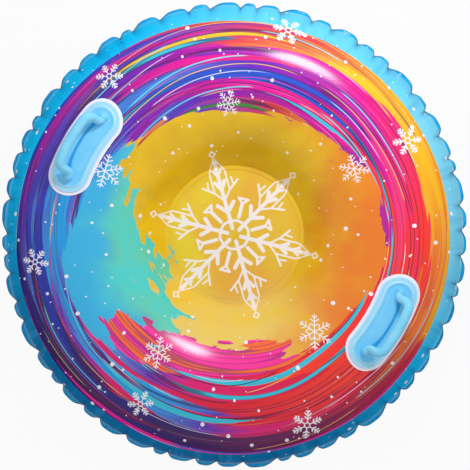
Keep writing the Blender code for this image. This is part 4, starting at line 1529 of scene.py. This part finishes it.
class SNOWTUBE_OT_valve(bpy.types.Operator):
    """Build the valve: flange, stem, plug, strap and flap."""

    bl_idname = "snowtube.valve"
    bl_label = "Valve"

    def execute(self, context):
        place = ValvePlace(context.scene)
        milky = moulded_vinyl("valve_vinyl", "CFE0EC", "DCEAF3", 0.30)
        blue = moulded_vinyl("plug_vinyl", "3F97DE", "4EA4E6", 0.30)
        flange = self.flange(place)
        place.lay(flange)
        make_piece(flange, "valve_ring", "tube", "valve_vinyl", ["valve_flange"], [milky], 35)
        for build, name, body, slot, node, material in (
                (self.stem, "valve_tube", "valve_stem", "valve_vinyl", "valve_stem", milky),
                (self.plug, "valve_cap", "valve_plug", "plug_vinyl", "valve_plug", blue),
                (self.strap, "valve_tether", "valve_plug", "plug_vinyl", "valve_strap", blue),
                (self.flap, "valve_membrane", "valve_flap", "valve_vinyl", "valve_flap", milky)):
            part = build(place)
            place.stand(part)
            make_piece(part, name, body, slot, [node], [material], 35)
        return {"FINISHED"}

    def flange(self, place):
        """The welded flange, with a ring pressed in by the weld."""
        sizes = place.sizes
        low = sizes.clearance
        high = low + sizes.flange_thickness
        pressed = high - VALVE_ROUNDING
        bore = sizes.stem_radius + sizes.clearance
        lip = RING_SLOPE
        rim = sizes.flange_radius
        edge = EDGE_ROUNDING
        outer = rim - RING_INSET
        inner = outer - RING_WIDTH
        profile = [(bore, low), (rim, low), (rim, high - edge), (rim - edge, high), (outer, high)]
        profile += [(outer - lip, pressed), (inner + lip, pressed), (inner, high)]
        profile += [(bore + 5 * lip, high), (bore + 2 * lip, high), (bore, high - lip)]
        return turned(profile, True)

    def stem(self, place):
        """The soft stem with its rounded collar, its bore and the strap's lug."""
        sizes = place.sizes
        top = place.collar_top
        bottom = place.stem_bottom
        lip = VALVE_ROUNDING
        collar = sizes.collar_radius
        profile = [(sizes.bore + lip, top), (collar - lip, top), (collar, top - lip)]
        profile += [(collar, place.collar_bottom), (sizes.stem_radius, place.collar_bottom)]
        profile += [(sizes.stem_radius, bottom + lip), (sizes.stem_radius - lip, bottom)]
        profile += [(sizes.bore, bottom), (sizes.bore, top - lip)]
        bm = turned(profile, True)
        half = sizes.strap_width / 2
        inner = (sizes.stem_radius + sizes.collar_radius) / 2
        outer = sizes.strap_reach + sizes.bead_radius
        join(bm, bar((inner, -half, top - sizes.lug_thickness), (outer, half, top), BAR_ROUNDING))
        bead = bmesh.new()
        bmesh.ops.create_cone(bead, cap_ends=True, segments=BEAD_SEGMENTS, radius1=sizes.bead_radius,
                              radius2=sizes.bead_radius, depth=sizes.strap_width)
        bmesh.ops.rotate(bead, verts=bead.verts, cent=(0, 0, 0), matrix=Matrix.Rotation(math.pi / 2, 3, "X"))
        bmesh.ops.translate(bead, verts=bead.verts, vec=(sizes.strap_reach, 0.0, place.hinge_lift))
        join(bm, bead)
        return bm

    def plug(self, place):
        """The plug with a raised ring on its head and a bead on its shank."""
        sizes = place.sizes
        base = place.plug_bottom
        top = base + sizes.plug_thickness
        head = sizes.plug_radius
        tip = sizes.plug_tip
        end = base - sizes.plug_length
        bed = top - PLUG_HOLLOW
        edge = EDGE_ROUNDING
        under = BAR_ROUNDING
        profile = [(0.0, bed), (head * 0.45, bed), (head * 0.52, top), (head - edge, top)]
        profile += [(head, top - edge), (head, base + under), (head - under, base)]
        profile += [(radius, base - depth) for radius, depth in SHANK]
        profile += [(tip, base - TIP_START), (tip, end + edge), (tip - edge, end), (0.0, end)]
        return turned(profile, False)

    def strap(self, place):
        """The flat strap from the plug's head to the hinge."""
        sizes = place.sizes
        base = place.plug_bottom
        half = sizes.strap_width / 2
        outer = sizes.strap_reach - sizes.bead_radius - sizes.clearance
        inner = sizes.plug_radius - PLUG_HOLLOW
        low = (inner, -half, base + sizes.clearance / 3)
        return bar(low, (outer, half, base + sizes.strap_thickness), BAR_ROUNDING)

    def flap(self, place):
        """The non-return flap over the stem's inner end."""
        sizes = place.sizes
        top = place.stem_bottom - sizes.clearance
        low = top - sizes.flap_thickness
        rim = sizes.flap_radius
        relief = FLAP_RELIEF
        profile = [(0.0, top), (rim, top), (rim, low + relief), (rim - relief, low), (rim * 0.6, low)]
        profile += [(rim * 0.5, low - relief), (0.0, low - relief)]
        return turned(profile, False)


# Stage

class SNOWTUBE_OT_stage(bpy.types.Operator):
    """Build the floor, the lamp, the sky and the camera."""

    bl_idname = "snowtube.stage"
    bl_label = "Stage"

    def execute(self, context):
        sizes = context.scene.stage_sizes
        self.floor(sizes)
        self.sky(context.scene, sizes)
        self.lamp(sizes)
        self.camera(context.scene, sizes)
        context.scene.view_settings.view_transform = "Standard"
        return {"FINISHED"}

    def floor(self, sizes):
        """A large round floor that looks white and keeps a soft shadow, and is clear from below."""
        bm = bmesh.new()
        bmesh.ops.create_circle(bm, cap_ends=True, segments=64, radius=sizes.floor_reach)
        bmesh.ops.translate(bm, verts=bm.verts, vec=(0, 0, -FLOOR_GAP))
        finish = Finish("studio_floor", FLOOR_COLOUR, 0.9)
        finish.set("Specular IOR Level", 0.5)
        glow = finish.node("ShaderNodeEmission", None, {"Strength": 1.0})
        above = finish.blend(finish.plain_to_camera() * FLOOR_WHITENESS, finish.look, glow)
        below = finish.node("ShaderNodeBsdfTransparent")
        backfacing = finish.node("ShaderNodeNewGeometry", output="Backfacing")
        finish.show("Material Output", finish.blend(backfacing, above, below))
        floor = make_object(bm, "studio_floor", [finish.material])

    def sky(self, scene, sizes):
        """Even light from all sides, and a white background."""
        world = bpy.data.worlds.new("studio_sky")
        world.use_nodes = True
        scene.world = world
        nodes = Nodes(world.node_tree)
        light = world.node_tree.nodes["Background"]
        nodes.feed(light.inputs["Color"], WHITE)
        nodes.feed(light.inputs["Strength"], sizes.sky)
        white = nodes.node("ShaderNodeBackground", None, {"Color": WHITE})
        blend = nodes.blend(nodes.plain_to_camera(), Value(nodes, light.outputs[0]), white)
        nodes.show("World Output", blend)

    def lamp(self, sizes):
        """One soft lamp, high on the side that the photograph is lit from."""
        slanted = Vector((math.sin(sizes.lamp_slant), 0, math.cos(sizes.lamp_slant)))
        towards = Matrix.Rotation(sizes.lamp_turn, 3, "Z") @ slanted
        data = bpy.data.lights.new("soft_box", "AREA")
        data.shape = "ELLIPSE"
        data.size = sizes.lamp_length
        data.size_y = sizes.lamp_width
        data.energy = sizes.lamp_power
        lamp = add_object("soft_box", data)
        lamp.location = towards * sizes.lamp_distance
        lamp.rotation_euler = towards.to_track_quat("Z", "Y").to_euler()

    def camera(self, scene, sizes):
        """A camera straight above, turned so that the handles lie where the photograph shows them."""
        data = bpy.data.cameras.new("camera")
        data.lens = data.sensor_width * sizes.camera_height / sizes.frame_width
        camera = add_object("camera", data)
        height = scene.tube_sizes.seam_height + sizes.camera_height
        place = Vector((CAMERA_RIGHT, -CAMERA_DOWN, height))
        camera.location = Matrix.Rotation(sizes.camera_turn, 3, "Z") @ place
        camera.rotation_euler = (0.0, 0.0, sizes.camera_turn)
        scene.camera = camera


OPERATORS = (
    SNOWTUBE_OT_stage,
    SNOWTUBE_OT_top_skin,
    SNOWTUBE_OT_bottom_skin,
    SNOWTUBE_OT_seat_floor,
    SNOWTUBE_OT_seam,
    SNOWTUBE_OT_handle_pads,
    SNOWTUBE_OT_grips,
    SNOWTUBE_OT_valve,
)


class SNOWTUBE_PT_panel(bpy.types.Panel):
    """The tube's pieces and their settings."""

    bl_idname = "SNOWTUBE_PT_panel"
    bl_label = "Snow Tube"
    bl_space_type = "VIEW_3D"
    bl_region_type = "UI"
    bl_category = "Snow Tube"

    def draw(self, context):
        for operator in OPERATORS:
            self.layout.operator(operator.bl_idname)
        for name in SETTINGS:
            box = self.layout.box()
            group = getattr(context.scene, name)
            for setting in group.bl_rna.properties:
                if setting.identifier not in {"rna_type", "name"}:
                    box.prop(group, setting.identifier)


def register():
    """Register the settings, the operators and the panel."""
    for name, group in SETTINGS.items():
        bpy.utils.register_class(group)
        setattr(bpy.types.Scene, name, PointerProperty(type=group))
    for operator in OPERATORS:
        bpy.utils.register_class(operator)
    bpy.utils.register_class(SNOWTUBE_PT_panel)


def unregister():
    """Take back what register added."""
    bpy.utils.unregister_class(SNOWTUBE_PT_panel)
    for operator in reversed(OPERATORS):
        bpy.utils.unregister_class(operator)
    for name, group in SETTINGS.items():
        delattr(bpy.types.Scene, name)
        bpy.utils.unregister_class(group)


def main():
    """Build every piece."""
    register()
    for operator in OPERATORS:
        group, name = operator.bl_idname.split(".")
        getattr(getattr(bpy.ops, group), name)()


if __name__ == "__main__":
    main()
